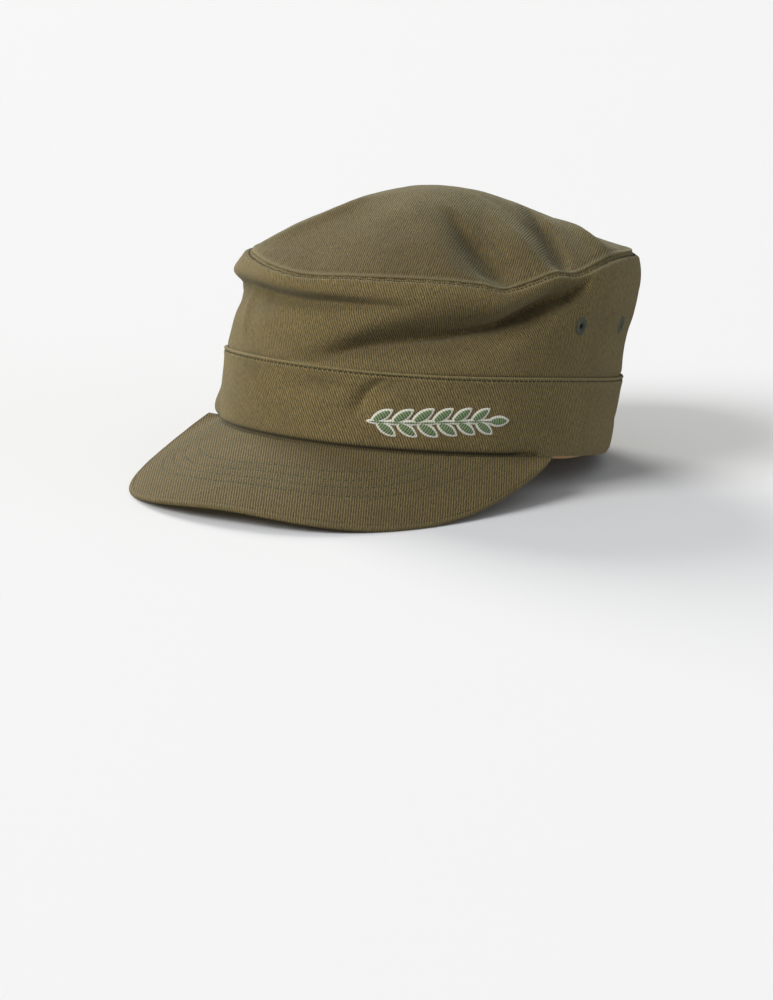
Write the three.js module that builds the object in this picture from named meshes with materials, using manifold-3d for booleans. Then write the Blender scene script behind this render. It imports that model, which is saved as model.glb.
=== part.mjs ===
// An army cap: a soft flat-topped field cap of cotton twill with a short curved peak.
// All sizes are in millimetres. The cap is drawn upright, with the middle of its head opening at the origin,
// +Z up, its front towards -Y and the wearer's left towards +X. It is then leant onto the surface it rests on.
// A turn is an angle round the cap in degrees: 0 is the front, 90 the wearer's left, 180 the back.
import * as THREE from "three";
import { mergeVertices } from "three/addons/utils/BufferGeometryUtils.js";
import Module from "manifold-3d";

const wasm = await Module();
wasm.setup();

const CLOTH = 1.6;
const SWEATBAND_CLOTH = 1.2;
const PEAK_THICKNESS = 2.6;
const PEAK_EDGE_THICKNESS = 1.6;
const GAP = 0.3;
const COLUMNS = 78;

// The three ovals that shape the cap: heights at the front, sides and back, and reach from the middle.
const OVALS = {
  foot: { frontZ: -3.5, leftZ: 0, rightZ: -1.2, backZ: 1.5, halfWidth: 83, frontReach: 99, backReach: 96 },
  bandTop: { frontZ: 28.2, leftZ: 33, rightZ: 29, backZ: 35, halfWidth: 85, frontReach: 101, backReach: 101 },
  topSeam: { frontZ: 66, leftZ: 86, rightZ: 80, backZ: 90, halfWidth: 81, frontReach: 88, backReach: 106 },
};
const BAND_HEIGHT = OVALS.bandTop.leftZ - OVALS.foot.leftZ;

// The top seam round the cap: columns are turn, height, and how far it is pulled in from its oval.
const SEAM = [
  [-160, 89.5, 0], [-125, 88, 0], [-106, 84, 0.5], [-92, 78.5, 1.5], [-80, 75, 2.6], [-62, 73, 3],
  [-44, 70.4, 1.4], [-25, 66.7, 0], [-12, 65.4, 0], [5, 67.1, 0], [28, 69.1, 0], [42, 69.2, 0],
  [49, 68.2, 0], [57, 72, 0], [66, 77.2, 0], [74, 77.6, 0], [85, 83, 0], [97, 87.2, 0],
  [120, 88.8, 0], [150, 90, 0],
];

// How far the wall swells out between the band and the seam: columns are share of its height, front, back.
const WALL_SWELL = [
  [0, -0.9, -0.9], [0.04, 0, 0], [0.2, 0.2, 0.2], [0.35, 0.6, 1.2], [0.5, 1.2, 3.8], [0.65, 2.2, 5.3],
  [0.8, 3.2, 5.6], [0.9, 3.2, 4.6], [0.96, 2.4, 3], [1, 0, 0],
];
const WALL_TUCK = 6;
const WALL_SHARES = [-1, 0, 0.04, 0.14, 0.24, 0.34, 0.44, 0.54, 0.63, 0.72, 0.81, 0.9, 0.96, 1];
const TOP_SHARES = [0, 0.07, 0.18, 0.3, 0.43, 0.57, 0.72, 0.87, 1];

// The top panel: its highest point, and how quickly it falls from there at the front, sides and back.
const TOP = { z: 108.5, y: 4.5, front: 1.75, side: 1.58, back: 1.6, roundness: 0.2 };

// Folds. Stations along a fold have the columns: along, across, depth, width above, width below.
// A negative depth is a ridge. On the wall, a round fold runs along the turn and an upright one along
// the share of height. On the top, every fold runs out along the share from the highest point.
const WALL_FOLDS = {
  upper: { runs: "round", stations: [
    [-75, 0.6, 0, 0.1, 0.2], [-60, 0.6, 4, 0.1, 0.2], [-40, 0.66, 3.8, 0.1, 0.22],
    [-22, 0.68, 3, 0.1, 0.2], [-5, 0.69, 2.4, 0.09, 0.16], [17, 0.7, 1.2, 0.08, 0.12], [27, 0.72, 0, 0.08, 0.1],
  ] },
  slanting: { runs: "round", stations: [
    [-12, 0.02, 0, 0.16, 0.1], [4.5, 0.16, 3.2, 0.2, 0.12], [21.5, 0.33, 6.4, 0.24, 0.18],
    [38, 0.42, 7.2, 0.24, 0.2], [49, 0.53, 7, 0.2, 0.2], [60, 0.68, 6.4, 0.15, 0.2],
    [72, 0.84, 3.6, 0.1, 0.14], [79, 0.95, 0, 0.08, 0.1],
  ] },
  frontPleat: { runs: "upright", stations: [
    [0.05, -34, 0, 2.5, 2.5], [0.3, -36, -1, 2.5, 2.5], [0.6, -39, -1.3, 2.5, 2.5], [0.75, -40, 0, 2.5, 2.5],
  ] },
  rightBulge: { runs: "round", stations: [
    [-104, 0.78, 0, 0.14, 0.1], [-84, 0.76, -2, 0.14, 0.1], [-62, 0.76, -2.6, 0.14, 0.1],
    [-40, 0.8, 0, 0.14, 0.08],
  ] },
  backDip: { runs: "round", stations: [
    [118, 0.42, 0, 0.2, 0.2], [150, 0.36, 2.6, 0.2, 0.2], [185, 0.4, 0, 0.2, 0.2],
  ] },
  sideDip: { runs: "round", stations: [
    [-168, 0.5, 0, 0.2, 0.2], [-135, 0.4, 2.8, 0.2, 0.2], [-96, 0.3, 2, 0.2, 0.2], [-70, 0.2, 0, 0.2, 0.2],
  ] },
};
const BAND_FOLDS = {
  slanting: { runs: "upright", stations: [
    [0.3, 12, 0, 3, 3], [0.55, 14, 1.4, 3, 3.5], [0.8, 19, 1.2, 4, 4], [0.98, 24, 0, 4, 4],
  ] },
  front: { runs: "round", stations: [
    [-18, 0.62, 0, 0.16, 0.16], [-3, 0.68, 0.9, 0.16, 0.16], [9, 0.72, 0, 0.16, 0.16],
  ] },
  rightFlare: { runs: "round", stations: [
    [-116, 0.1, 0, 0.3, 0.3], [-86, 0.1, -3.6, 0.3, 0.3], [-70, 0.1, -4.6, 0.3, 0.3], [-60, 0.1, 0, 0.3, 0.3],
  ] },
  rightEdge: { runs: "round", stations: [
    [-124, 0.9, 0, 0.4, 0.4], [-90, 0.9, 1.4, 0.4, 0.4], [-60, 0.9, 1.2, 0.4, 0.4], [-30, 0.9, 0, 0.4, 0.4],
  ] },
  back: { runs: "upright", stations: [
    [0.1, 112, 0, 3, 3], [0.3, 113, 1.2, 3, 4], [0.6, 121, 1.2, 4, 4], [0.9, 124, 0, 4, 4],
  ] },
};
const TOP_FOLDS = {
  leftRidge: { runs: "out", stations: [
    [0.3, -27, 0, 10, 6], [0.5, -34, -1.2, 12, 7], [0.8, -42, -2, 14, 8], [0.97, -48, -1, 14, 8], [1, -49, 0, 14, 8],
  ] },
  frontValley: { runs: "out", stations: [
    [0.5, 35, 0, 6, 8], [0.72, 39, 2.2, 5, 8], [0.88, 43, 2.6, 4, 8], [1, 47, 0, 4, 8],
  ] },
  frontPuff: { runs: "out", stations: [
    [0.55, 58, 0, 9, 9], [0.78, 57, -1.4, 8, 8], [1, 57, 0, 6, 6],
  ] },
  sideCrease: { runs: "out", stations: [
    [0.42, 94, 0, 7, 7], [0.57, 85, 1.8, 5, 8], [0.76, 76, 2.6, 4, 9], [0.92, 70, 2, 4, 8], [1, 68, 0, 4, 8],
  ] },
  sideRidge: { runs: "out", stations: [
    [0.55, 102, 0, 9, 9], [0.78, 96, -0.8, 8, 7], [0.95, 92, -0.8, 8, 7], [1, 91, 0, 8, 7],
  ] },
  leftSlope: { runs: "out", stations: [
    [0.2, 124, 0, 30, 30], [0.5, 126, 1.5, 28, 30], [0.8, 128, 2.2, 26, 30], [1, 130, 0, 26, 30],
  ] },
  backValley: { runs: "out", stations: [
    [0.35, 190, 0, 14, 14], [0.7, 200, 1.8, 14, 14], [1, 206, 0, 14, 14],
  ] },
};

// The peak: the turn of its corners, and the rounded outline, fall and arch of its free edge.
const PEAK = {
  cornerTurn: 66.8, halfWidth: 83.3, reach: 130.7, squareness: 2.46,
  edgeZ: -0.4, rightDrop: 1.2, fallAngle: 22.3, arch: 24.8, camber: 1.5,
};
const PEAK_COLUMNS = 36;
const PEAK_SHARES = [0, 0.025, 0.07, 0.25, 0.5, 0.75, 1];

const SWEATBAND = { height: 0.75, dropTurn: 78, dropWidth: 14, drop: 1.4, setBack: 0.8 };

// Sewn eyelets: the two on the wearer's left, as turn and height up the cap. The right has the same pair.
const EYELETS = [
  { name: "front", turn: 77, z: 55 },
  { name: "back", turn: 100.5, z: 56 },
];
const EYELET = { outer: 4.1, hole: 1.1, barrel: 1.9, proud: 1.4, lift: 0.8, segments: 10 };

// How far the cap leans back so that the peak and the back of the band both rest, and the cloth flattened.
const REST = { lean: 8.15, flattened: 0.5 };

const radians = THREE.MathUtils.degToRad;
const cosine = (turn) => Math.cos(radians(turn));
const sine = (turn) => Math.sin(radians(turn));
const mix = THREE.MathUtils.lerp;
const between = (turn) => ((((turn + 180) % 360) + 360) % 360) - 180;

// A smooth curve through the rows of a table: the value in one column where the first column is `at`.
function smooth(rows, column, at) {
  const last = rows.length - 1;
  if (at <= rows[0][0]) return rows[0][column];
  if (at >= rows[last][0]) return rows[last][column];
  const slope = (i) => {
    const before = rows[Math.max(i - 1, 0)];
    const after = rows[Math.min(i + 1, last)];
    return (after[column] - before[column]) / (after[0] - before[0]);
  };
  const i = rows.findIndex((row) => row[0] > at) - 1;
  const step = rows[i + 1][0] - rows[i][0];
  const s = (at - rows[i][0]) / step;
  const start = rows[i][column] * (1 + 2 * s) * (1 - s) ** 2 + slope(i) * step * s * (1 - s) ** 2;
  const end = rows[i + 1][column] * s * s * (3 - 2 * s) + slope(i + 1) * step * s * s * (s - 1);
  return start + end;
}

// The same for a table that goes once round the cap.
function smoothRound(rows, column, turn) {
  const shifted = (row, by) => [row[0] + by, ...row.slice(1)];
  const before = rows.slice(-2).map((row) => shifted(row, -360));
  const after = rows.slice(0, 2).map((row) => shifted(row, 360));
  return smooth([...before, ...rows, ...after], column, between(turn));
}

// A point of one oval, moved out by `grow`.
function ovalPoint(oval, turn, grow = 0) {
  const c = cosine(turn);
  const reach = c > 0 ? oval.frontReach : oval.backReach;
  const sideZ = mix(oval.rightZ, oval.leftZ, (1 + sine(turn)) / 2);
  const z = mix(sideZ, c > 0 ? oval.frontZ : oval.backZ, c * c);
  return new THREE.Vector3((oval.halfWidth + grow) * sine(turn), -(reach + grow) * c, z);
}

// The level direction that faces straight out of the cap at a turn.
function outward(turn) {
  const { halfWidth, frontReach } = OVALS.bandTop;
  return new THREE.Vector3(sine(turn) / halfWidth, -cosine(turn) / frontReach, 0).normalize();
}

// The depth of all the folds of one piece at a place on it.
function foldDepth(folds, turn, share) {
  let total = 0;
  for (const { runs, stations } of Object.values(folds)) {
    const along = runs === "round" ? turn : share;
    const first = stations[0][0];
    const last = stations[stations.length - 1][0];
    const shifted = runs === "round" ? first + ((((along - first) % 360) + 360) % 360) : along;
    if (shifted <= first || shifted >= last) continue;
    const line = smooth(stations, 1, shifted);
    const offset = runs === "round" ? share - line : between(turn - line);
    const width = smooth(stations, offset > 0 ? 3 : 4, shifted);
    total += smooth(stations, 2, shifted) * Math.exp(-((offset / width) ** 2));
  }
  return total;
}

function seamPoint(turn) {
  const point = ovalPoint(OVALS.topSeam, turn, -smoothRound(SEAM, 2, turn));
  return point.setZ(smoothRound(SEAM, 1, turn));
}

// The outside of the band, moved out by `grow`; share 0 is its foot and 1 its top edge.
function bandPoint(turn, share, grow = 0) {
  const point = ovalPoint(OVALS.foot, turn).lerp(ovalPoint(OVALS.bandTop, turn), share);
  return point.addScaledVector(outward(turn), grow - foldDepth(BAND_FOLDS, turn, share));
}

// The outside of the wall; share 0 is the band's top edge, 1 the top seam, and -1 the end of the tuck.
function wallPoint(turn, share) {
  if (share < 0) return bandPoint(turn, 1 + (share * WALL_TUCK) / BAND_HEIGHT, -CLOTH - GAP);
  const point = bandPoint(turn, 1, -1).lerp(seamPoint(turn), share);
  const swell = mix(smooth(WALL_SWELL, 2, share), smooth(WALL_SWELL, 1, share), (1 + cosine(turn)) / 2);
  const ends = 1 - Math.abs(2 * share - 1) ** 6;
  point.addScaledVector(outward(turn), swell - foldDepth(WALL_FOLDS, turn, share) * ends);
  return point.setZ(point.z - (CLOTH + GAP) * share ** 8);
}

// The outside of the top panel; share 0 is the seam and 1 the highest point.
function topPoint(turn, share) {
  const out = 1 - share;
  const c = cosine(turn);
  const power = mix(TOP.side, c > 0 ? TOP.front : TOP.back, c * c);
  const fall = (at) => (at * at + TOP.roundness ** 2) ** (power / 2) - TOP.roundness ** power;
  const seam = seamPoint(turn);
  const z = mix(TOP.z, seam.z, fall(out) / fall(1)) - foldDepth(TOP_FOLDS, turn, out);
  return new THREE.Vector3(seam.x * out, mix(TOP.y, seam.y, out), z);
}

// The outside of the sweatband; share 0 is its lower edge, which drops below the band beside the peak.
// It follows the band's dents, and stays on the head where the band flares away from it.
function sweatbandPoint(turn, share) {
  const away = (Math.abs(between(turn)) - SWEATBAND.dropTurn) / SWEATBAND.dropWidth;
  const drop = (SWEATBAND.drop + SWEATBAND.setBack) * Math.exp(-(away ** 2)) - SWEATBAND.setBack;
  const level = mix(-drop / BAND_HEIGHT, SWEATBAND.height, share);
  const flare = Math.min(foldDepth(BAND_FOLDS, turn, level), 0);
  return bandPoint(turn, level, flare - CLOTH - GAP);
}

// The top face of the peak; across runs from -1 to 1 and share from 0 at the free edge to 1 at the root.
function peakPoint(across, share) {
  const root = ovalPoint(OVALS.foot, across * PEAK.cornerTurn, -CLOTH);
  root.z -= GAP;
  const curve = 2 / PEAK.squareness;
  const x = PEAK.halfWidth * Math.sign(across) * Math.abs(sine(across * 90)) ** curve;
  const ahead = PEAK.reach * Math.abs(cosine(across * 90)) ** curve;
  const fall = Math.tan(radians(PEAK.fallAngle)) * ahead;
  const corner = PEAK.edgeZ - PEAK.rightDrop * Math.max(-across, 0) ** 4;
  const z = corner + PEAK.arch * (1 - (x / PEAK.halfWidth) ** 2) - fall;
  const cornerY = -OVALS.foot.frontReach * cosine(PEAK.cornerTurn);
  const point = new THREE.Vector3(x, cornerY - ahead, z).lerp(root, share);
  point.z += PEAK.camber * 4 * share * (1 - share) * (ahead / PEAK.reach);
  return point;
}

// Merges the shared corners of a list of triangles and drops the triangles that this closes up.
function closedGeometry(points, triangles) {
  const loose = new THREE.BufferGeometry();
  loose.setAttribute("position", new THREE.Float32BufferAttribute(points.flatMap((p) => p.toArray()), 3));
  loose.setIndex(triangles.flat());
  const geometry = mergeVertices(loose, 1e-4);
  const index = Array.from(geometry.index.array);
  const kept = [];
  for (let i = 0; i < index.length; i += 3) {
    const [a, b, c] = index.slice(i, i + 3);
    if (a !== b && b !== c && c !== a) kept.push(a, b, c);
  }
  geometry.setIndex(kept);
  return geometry;
}

// A wall of cloth under the surface point(u, share): u goes round the cap, or across it where it is open.
function clothWall({ point, thickness, shares, columns, from, to, round }) {
  const count = round ? columns : columns + 1;
  const step = (to - from) / columns;
  const grid = shares.map((share) => Array.from({ length: count }, (_, i) => point(from + i * step, share)));
  const outer = [];
  const inner = [];
  grid.forEach((row, r) => row.forEach((place, i) => {
    const next = round ? row[(i + 1) % count] : row[Math.min(i + 1, count - 1)];
    const previous = round ? row[(i + count - 1) % count] : row[Math.max(i - 1, 0)];
    const upper = grid[Math.min(r + 1, grid.length - 1)][i];
    const lower = grid[Math.max(r - 1, 0)][i];
    const around = next.clone().sub(previous);
    const normal = around.cross(upper.clone().sub(lower)).normalize();
    if (around.lengthSq() < 1e-9) normal.set(0, 0, 1);
    outer.push(place);
    inner.push(place.clone().addScaledVector(normal, -thickness(shares[r])));
  }));
  const at = (r, i) => r * count + (i % count);
  const under = outer.length;
  const triangles = [];
  const quad = (a, b, c, d) => triangles.push([a, b, c], [a, c, d]);
  for (let r = 0; r < grid.length - 1; r += 1) {
    for (let i = 0; i < columns; i += 1) {
      quad(at(r, i), at(r, i + 1), at(r + 1, i + 1), at(r + 1, i));
      quad(under + at(r, i), under + at(r + 1, i), under + at(r + 1, i + 1), under + at(r, i + 1));
    }
  }
  const edge = (a, b) => quad(a, under + a, under + b, b);
  const top = grid.length - 1;
  for (let i = 0; i < columns; i += 1) {
    edge(at(0, i), at(0, i + 1));
    edge(at(top, i + 1), at(top, i));
  }
  for (let r = 0; r < top && !round; r += 1) {
    edge(at(r + 1, 0), at(r, 0));
    edge(at(r, columns), at(r + 1, columns));
  }
  return closedGeometry([...outer, ...inner], triangles);
}

function toSolid(geometry) {
  const bare = geometry.clone();
  bare.deleteAttribute("normal");
  bare.deleteAttribute("uv");
  const merged = mergeVertices(bare, 1e-4);
  const vertProperties = new Float32Array(merged.attributes.position.array);
  const triVerts = new Uint32Array(merged.index.array);
  return new wasm.Manifold(new wasm.Mesh({ numProp: 3, vertProperties, triVerts }));
}

function fromSolid(solid) {
  const { vertProperties, triVerts } = solid.getMesh();
  const geometry = new THREE.BufferGeometry();
  geometry.setAttribute("position", new THREE.Float32BufferAttribute(vertProperties, 3));
  geometry.setIndex(Array.from(triVerts));
  return geometry;
}

function without(geometry, cutters) {
  return fromSolid(cutters.reduce((solid, cutter) => solid.subtract(toSolid(cutter)), toSolid(geometry)));
}

// Where an eyelet sits: its place on the outside of the wall, and the turn that points its axis outwards.
function eyeletMatrix(turn, z) {
  let share = 0;
  while (wallPoint(turn, share).z < z) share += 0.005;
  const place = wallPoint(turn, share);
  const along = wallPoint(turn + 1, share).sub(wallPoint(turn - 1, share));
  const normal = along.cross(wallPoint(turn, share + 0.02).sub(wallPoint(turn, share - 0.02))).normalize();
  const turned = new THREE.Quaternion().setFromUnitVectors(new THREE.Vector3(0, 1, 0), normal);
  return new THREE.Matrix4().compose(place, turned, new THREE.Vector3(1, 1, 1));
}

// A sewn eyelet: a low rounded ring of thread on the cloth, with a barrel that goes through it.
function eyeletGeometry() {
  const { outer, hole, barrel, proud, lift, segments } = EYELET;
  const profile = [
    [hole, -CLOTH], [barrel, -CLOTH], [barrel, lift], [outer, lift], [outer, mix(lift, proud, 0.5)],
    [mix(hole, outer, 0.6), proud], [hole, mix(lift, proud, 0.5)], [hole, -CLOTH],
  ];
  const lathe = new THREE.LatheGeometry(profile.map(([x, y]) => new THREE.Vector2(x, y)), segments);
  lathe.deleteAttribute("normal");
  lathe.deleteAttribute("uv");
  return mergeVertices(lathe, 1e-4);
}

function cloth(name, geometry, colour) {
  const material = new THREE.MeshStandardMaterial({ color: colour, roughness: 0.9, metalness: 0 });
  const mesh = new THREE.Mesh(geometry, material);
  mesh.name = name;
  return mesh;
}

const OLIVE = 0x6e6446;
const OLIVE_THREAD = 0x3d4436;
const TAN = 0xb98f5a;

const cap = new THREE.Group();
cap.rotation.x = -radians(REST.lean);
cap.updateMatrixWorld();

const around = { columns: COLUMNS, from: 0, to: 360, round: true };
const evenShares = (count) => Array.from({ length: count + 1 }, (_, i) => i / count);
const solids = {
  crown_wall: clothWall({ ...around, point: wallPoint, thickness: () => CLOTH, shares: WALL_SHARES }),
  crown_top: clothWall({ ...around, point: topPoint, thickness: () => CLOTH, shares: TOP_SHARES }),
  band: clothWall({ ...around, point: bandPoint, thickness: () => CLOTH, shares: evenShares(4) }),
  sweatband: clothWall({
    ...around, point: sweatbandPoint, thickness: () => SWEATBAND_CLOTH, shares: evenShares(3),
  }),
  peak: clothWall({
    point: peakPoint,
    thickness: (share) => mix(PEAK_EDGE_THICKNESS, PEAK_THICKNESS, Math.min(share / PEAK_SHARES[1], 1)),
    shares: PEAK_SHARES, columns: PEAK_COLUMNS, from: -1, to: 1, round: false,
  }),
};

const eyelets = EYELETS.flatMap(({ name, turn, z }) => [
  { name: `eyelet_left_${name}`, matrix: eyeletMatrix(turn, z) },
  { name: `eyelet_right_${name}`, matrix: eyeletMatrix(-turn, z) },
]);
const holeRadius = EYELET.barrel + GAP;
const punch = new THREE.CylinderGeometry(holeRadius, holeRadius, CLOTH * 4, EYELET.segments);
solids.crown_wall = without(solids.crown_wall, eyelets.map(({ matrix }) => punch.clone().applyMatrix4(matrix)));

// The surface under the cap flattens the cloth where it touches.
const lowest = new THREE.Box3();
for (const name of ["band", "peak"]) {
  lowest.union(new THREE.Box3().setFromBufferAttribute(
    solids[name].clone().applyMatrix4(cap.matrixWorld).attributes.position,
  ));
}
const FLOOR_BLOCK = 600;
const floorZ = lowest.min.z + REST.flattened;
const floor = new THREE.BoxGeometry(FLOOR_BLOCK, FLOOR_BLOCK, FLOOR_BLOCK)
  .translate(0, 0, floorZ - FLOOR_BLOCK / 2)
  .applyMatrix4(cap.matrixWorld.clone().invert());
solids.band = without(solids.band, [floor]);
solids.peak = without(solids.peak, [floor]);

cap.add(cloth("crown_wall", solids.crown_wall, OLIVE));
cap.add(cloth("crown_top", solids.crown_top, OLIVE));
cap.add(cloth("band", solids.band, OLIVE));
cap.add(cloth("peak", solids.peak, OLIVE));
cap.add(cloth("sweatband", solids.sweatband, TAN));
for (const { name, matrix } of eyelets) {
  const eyelet = cloth(name, eyeletGeometry(), OLIVE_THREAD);
  eyelet.applyMatrix4(matrix);
  cap.add(eyelet);
}

// The part's origin is the middle of its underside, on the surface that it rests on.
const whole = new THREE.Group();
whole.add(cap);
const box = new THREE.Box3().setFromObject(whole, true);
const middle = box.getCenter(new THREE.Vector3());
cap.position.set(-middle.x, -middle.y, -box.min.z);

export default whole;
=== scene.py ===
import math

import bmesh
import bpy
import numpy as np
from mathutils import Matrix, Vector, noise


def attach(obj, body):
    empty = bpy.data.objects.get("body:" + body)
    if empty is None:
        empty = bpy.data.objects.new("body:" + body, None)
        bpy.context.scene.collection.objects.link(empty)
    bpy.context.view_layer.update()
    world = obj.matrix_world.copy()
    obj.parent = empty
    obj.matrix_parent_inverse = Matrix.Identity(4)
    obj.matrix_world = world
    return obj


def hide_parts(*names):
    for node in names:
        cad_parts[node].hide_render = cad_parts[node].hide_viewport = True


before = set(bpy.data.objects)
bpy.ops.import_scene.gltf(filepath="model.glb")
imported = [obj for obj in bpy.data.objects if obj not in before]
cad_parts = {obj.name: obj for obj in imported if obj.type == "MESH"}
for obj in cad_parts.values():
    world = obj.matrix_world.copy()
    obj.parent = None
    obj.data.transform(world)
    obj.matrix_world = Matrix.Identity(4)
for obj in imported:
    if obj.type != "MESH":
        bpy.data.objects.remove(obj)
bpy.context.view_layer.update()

# %% [markdown]
# # An army cap
# The cap is a soft field cap of olive cotton twill: a folded wall of cloth, an oval top panel, a plain band,
# a short curved peak and four sewn eyelets. The solids that were loaded above hold its size. Each is replaced
# here by a finer cloth piece that is worked out from the same curves, and then seams, stitches and thread are
# added. Cloth could be simulated, but the folds of this cap are known from its photograph, so they are placed.

MM = 0.001

# %% [markdown]
# ## The camera
# The cap was drawn upright with the middle of its head opening at zero, its front towards -Y and the wearer's
# left towards +X, in millimetres. It then leans back a little so that it rests on the peak and the band. The
# camera was found in the upright cap's own directions, so it leans with the cap. A long lens keeps the sides
# of the cap nearly parallel, as they are in the photograph.

# %% From the upright cap to the scene
LEAN = math.radians(8.15)
CAP_PLACE = np.array([0.0049, 25.6945, 11.6905])


def lean(points):
    """Turns directions of the upright cap as the cap leans on its surface."""
    x, y, z = np.moveaxis(np.asarray(points, float), -1, 0)
    c, s = math.cos(LEAN), math.sin(LEAN)
    return np.stack([x, y * c + z * s, z * c - y * s], -1)


def to_scene(points):
    """Places of the upright cap, in millimetres, as places of the scene, in metres."""
    return (lean(points) + CAP_PLACE) * MM


print("middle of the head opening in the scene:", to_scene([0, 0, 0]).round(4))

# %% The camera itself
VIEW_RIGHT = Vector((0.8902, 0.4434, 0.1045))
VIEW_BACK = Vector((0.4369, -0.8959, 0.0798))
VIEW_UP = VIEW_BACK.cross(VIEW_RIGHT)
CAMERA_PLACE = -13.38 * VIEW_RIGHT - 30.38 * VIEW_UP + 1753.3 * VIEW_BACK
LENS_PIXELS = 3984.9
PICTURE_PIXELS = 1000
SENSOR = 36

camera_data = bpy.data.cameras.new("camera")
camera_data.sensor_width = SENSOR
camera_data.lens = LENS_PIXELS * SENSOR / PICTURE_PIXELS
camera_data.clip_start = 0.05
camera_data.clip_end = 60
camera = bpy.data.objects.new("camera", camera_data)
bpy.context.scene.collection.objects.link(camera)
bpy.context.scene.camera = camera
axes = [Vector(lean(axis)) for axis in (VIEW_RIGHT, VIEW_UP, VIEW_BACK)]
turned = Matrix(axes).transposed().to_4x4()
turned.translation = Vector(to_scene(CAMERA_PLACE))
camera.matrix_world = turned
print("camera at", [round(v, 3) for v in turned.translation])

# %% [markdown]
# ## The shape of the cap in numbers
# Three ovals give the foot of the band, its top edge and the seam of the top panel. Round the cap, a turn of 0
# degrees is the front and 90 the wearer's left. A share says how far up its panel a place is, from 0 to 1. The
# same ovals and tables shaped the solids, so the fine cloth lies where they do.

# %% Ovals
OVALS = {
    "foot": dict(front_z=-3.5, left_z=0, right_z=-1.2, back_z=1.5, half_width=83, front=99, back=96),
    "band_top": dict(front_z=28.2, left_z=33, right_z=29, back_z=35, half_width=85, front=101, back=101),
    "top_seam": dict(front_z=66, left_z=86, right_z=80, back_z=90, half_width=81, front=88, back=106),
}
BAND_HEIGHT = 33
CLOTH = 1.6
GAP = 0.3


def sine(turn):
    return np.sin(np.radians(turn))


def cosine(turn):
    return np.cos(np.radians(turn))


def wrapped(turn):
    """The same turn between -180 and 180 degrees."""
    return (np.asarray(turn, float) + 180) % 360 - 180


def mix(a, b, share):
    return a + (b - a) * share


def oval_point(oval, turn, grow=0.0):
    c, s = cosine(turn), sine(turn)
    side_z = mix(oval["right_z"], oval["left_z"], (1 + s) / 2)
    z = mix(side_z, np.where(c > 0, oval["front_z"], oval["back_z"]), c * c)
    reach = np.where(c > 0, oval["front"], oval["back"]) + grow
    return np.stack([(oval["half_width"] + grow) * s, -reach * c, z], -1)


def outward(turn):
    """The level direction that faces straight out of the cap."""
    oval = OVALS["band_top"]
    level = np.zeros(np.shape(turn))
    way = np.stack([sine(turn) / oval["half_width"], -cosine(turn) / oval["front"], level], -1)
    return way / np.linalg.norm(way, axis=-1, keepdims=True)


print("front of each oval:", {name: oval_point(oval, 0.0).round(1).tolist() for name, oval in OVALS.items()})


# %% Smooth curves through a table
def smooth(rows, column, at):
    """The value of one column of a table where its first column is at, on a smooth curve."""
    table = np.array(rows, float)
    x, y = table[:, 0], table[:, column]
    last = len(x) - 1
    before, after = np.maximum(np.arange(last + 1) - 1, 0), np.minimum(np.arange(last + 1) + 1, last)
    slope = (y[after] - y[before]) / (x[after] - x[before])
    at = np.clip(at, x[0], x[-1])
    i = np.clip(np.searchsorted(x, at, side="right") - 1, 0, last - 1)
    step = x[i + 1] - x[i]
    s = (at - x[i]) / step
    start = y[i] * (1 + 2 * s) * (1 - s) ** 2 + slope[i] * step * s * (1 - s) ** 2
    return start + y[i + 1] * s * s * (3 - 2 * s) + slope[i + 1] * step * s * s * (s - 1)


def smooth_round(rows, column, turn):
    """The same for a table that goes once round the cap."""
    table = np.array(rows, float)
    before, after = table[-2:].copy(), table[:2].copy()
    before[:, 0] -= 360
    after[:, 0] += 360
    return smooth(np.concatenate([before, table, after]), column, wrapped(turn))


print("halfway from 0 to 1:", round(float(smooth([(0, 0), (1, 1)], 1, 0.5)), 3))


# %% [markdown]
# ## Folds
# Every fold is a short table of stations: where along it, where across it, how deep, and how wide on its two
# sides. A fold that runs "round" has turns first and shares across it. One that runs "upright", or "out" from
# the middle of the top, has shares first and turns across it. A negative depth is a ridge.


# %% The depth of the folds
def fold_depth(folds, turn, share):
    """How far all the folds of a piece push its cloth in at each place."""
    turn, share = np.broadcast_arrays(np.asarray(turn, float), np.asarray(share, float))
    total = np.zeros(turn.shape)
    for runs, stations in folds:
        first, last = stations[0][0], stations[-1][0]
        along = first + (turn - first) % 360 if runs == "round" else share
        line = smooth(stations, 1, along)
        offset = share - line if runs == "round" else wrapped(turn - line)
        width = np.where(offset > 0, smooth(stations, 3, along), smooth(stations, 4, along))
        depth = smooth(stations, 2, along) * np.exp(-((offset / width) ** 2))
        total += np.where((along > first) & (along < last), depth, 0)
    return total


trial_fold = ("upright", [(0, 0, 2, 3, 3), (1, 0, 2, 3, 3)])
print("a fold of 2 mm, in its middle and 3 degrees beside it:", fold_depth([trial_fold], [0, 3], 0.5).round(2))


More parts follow.
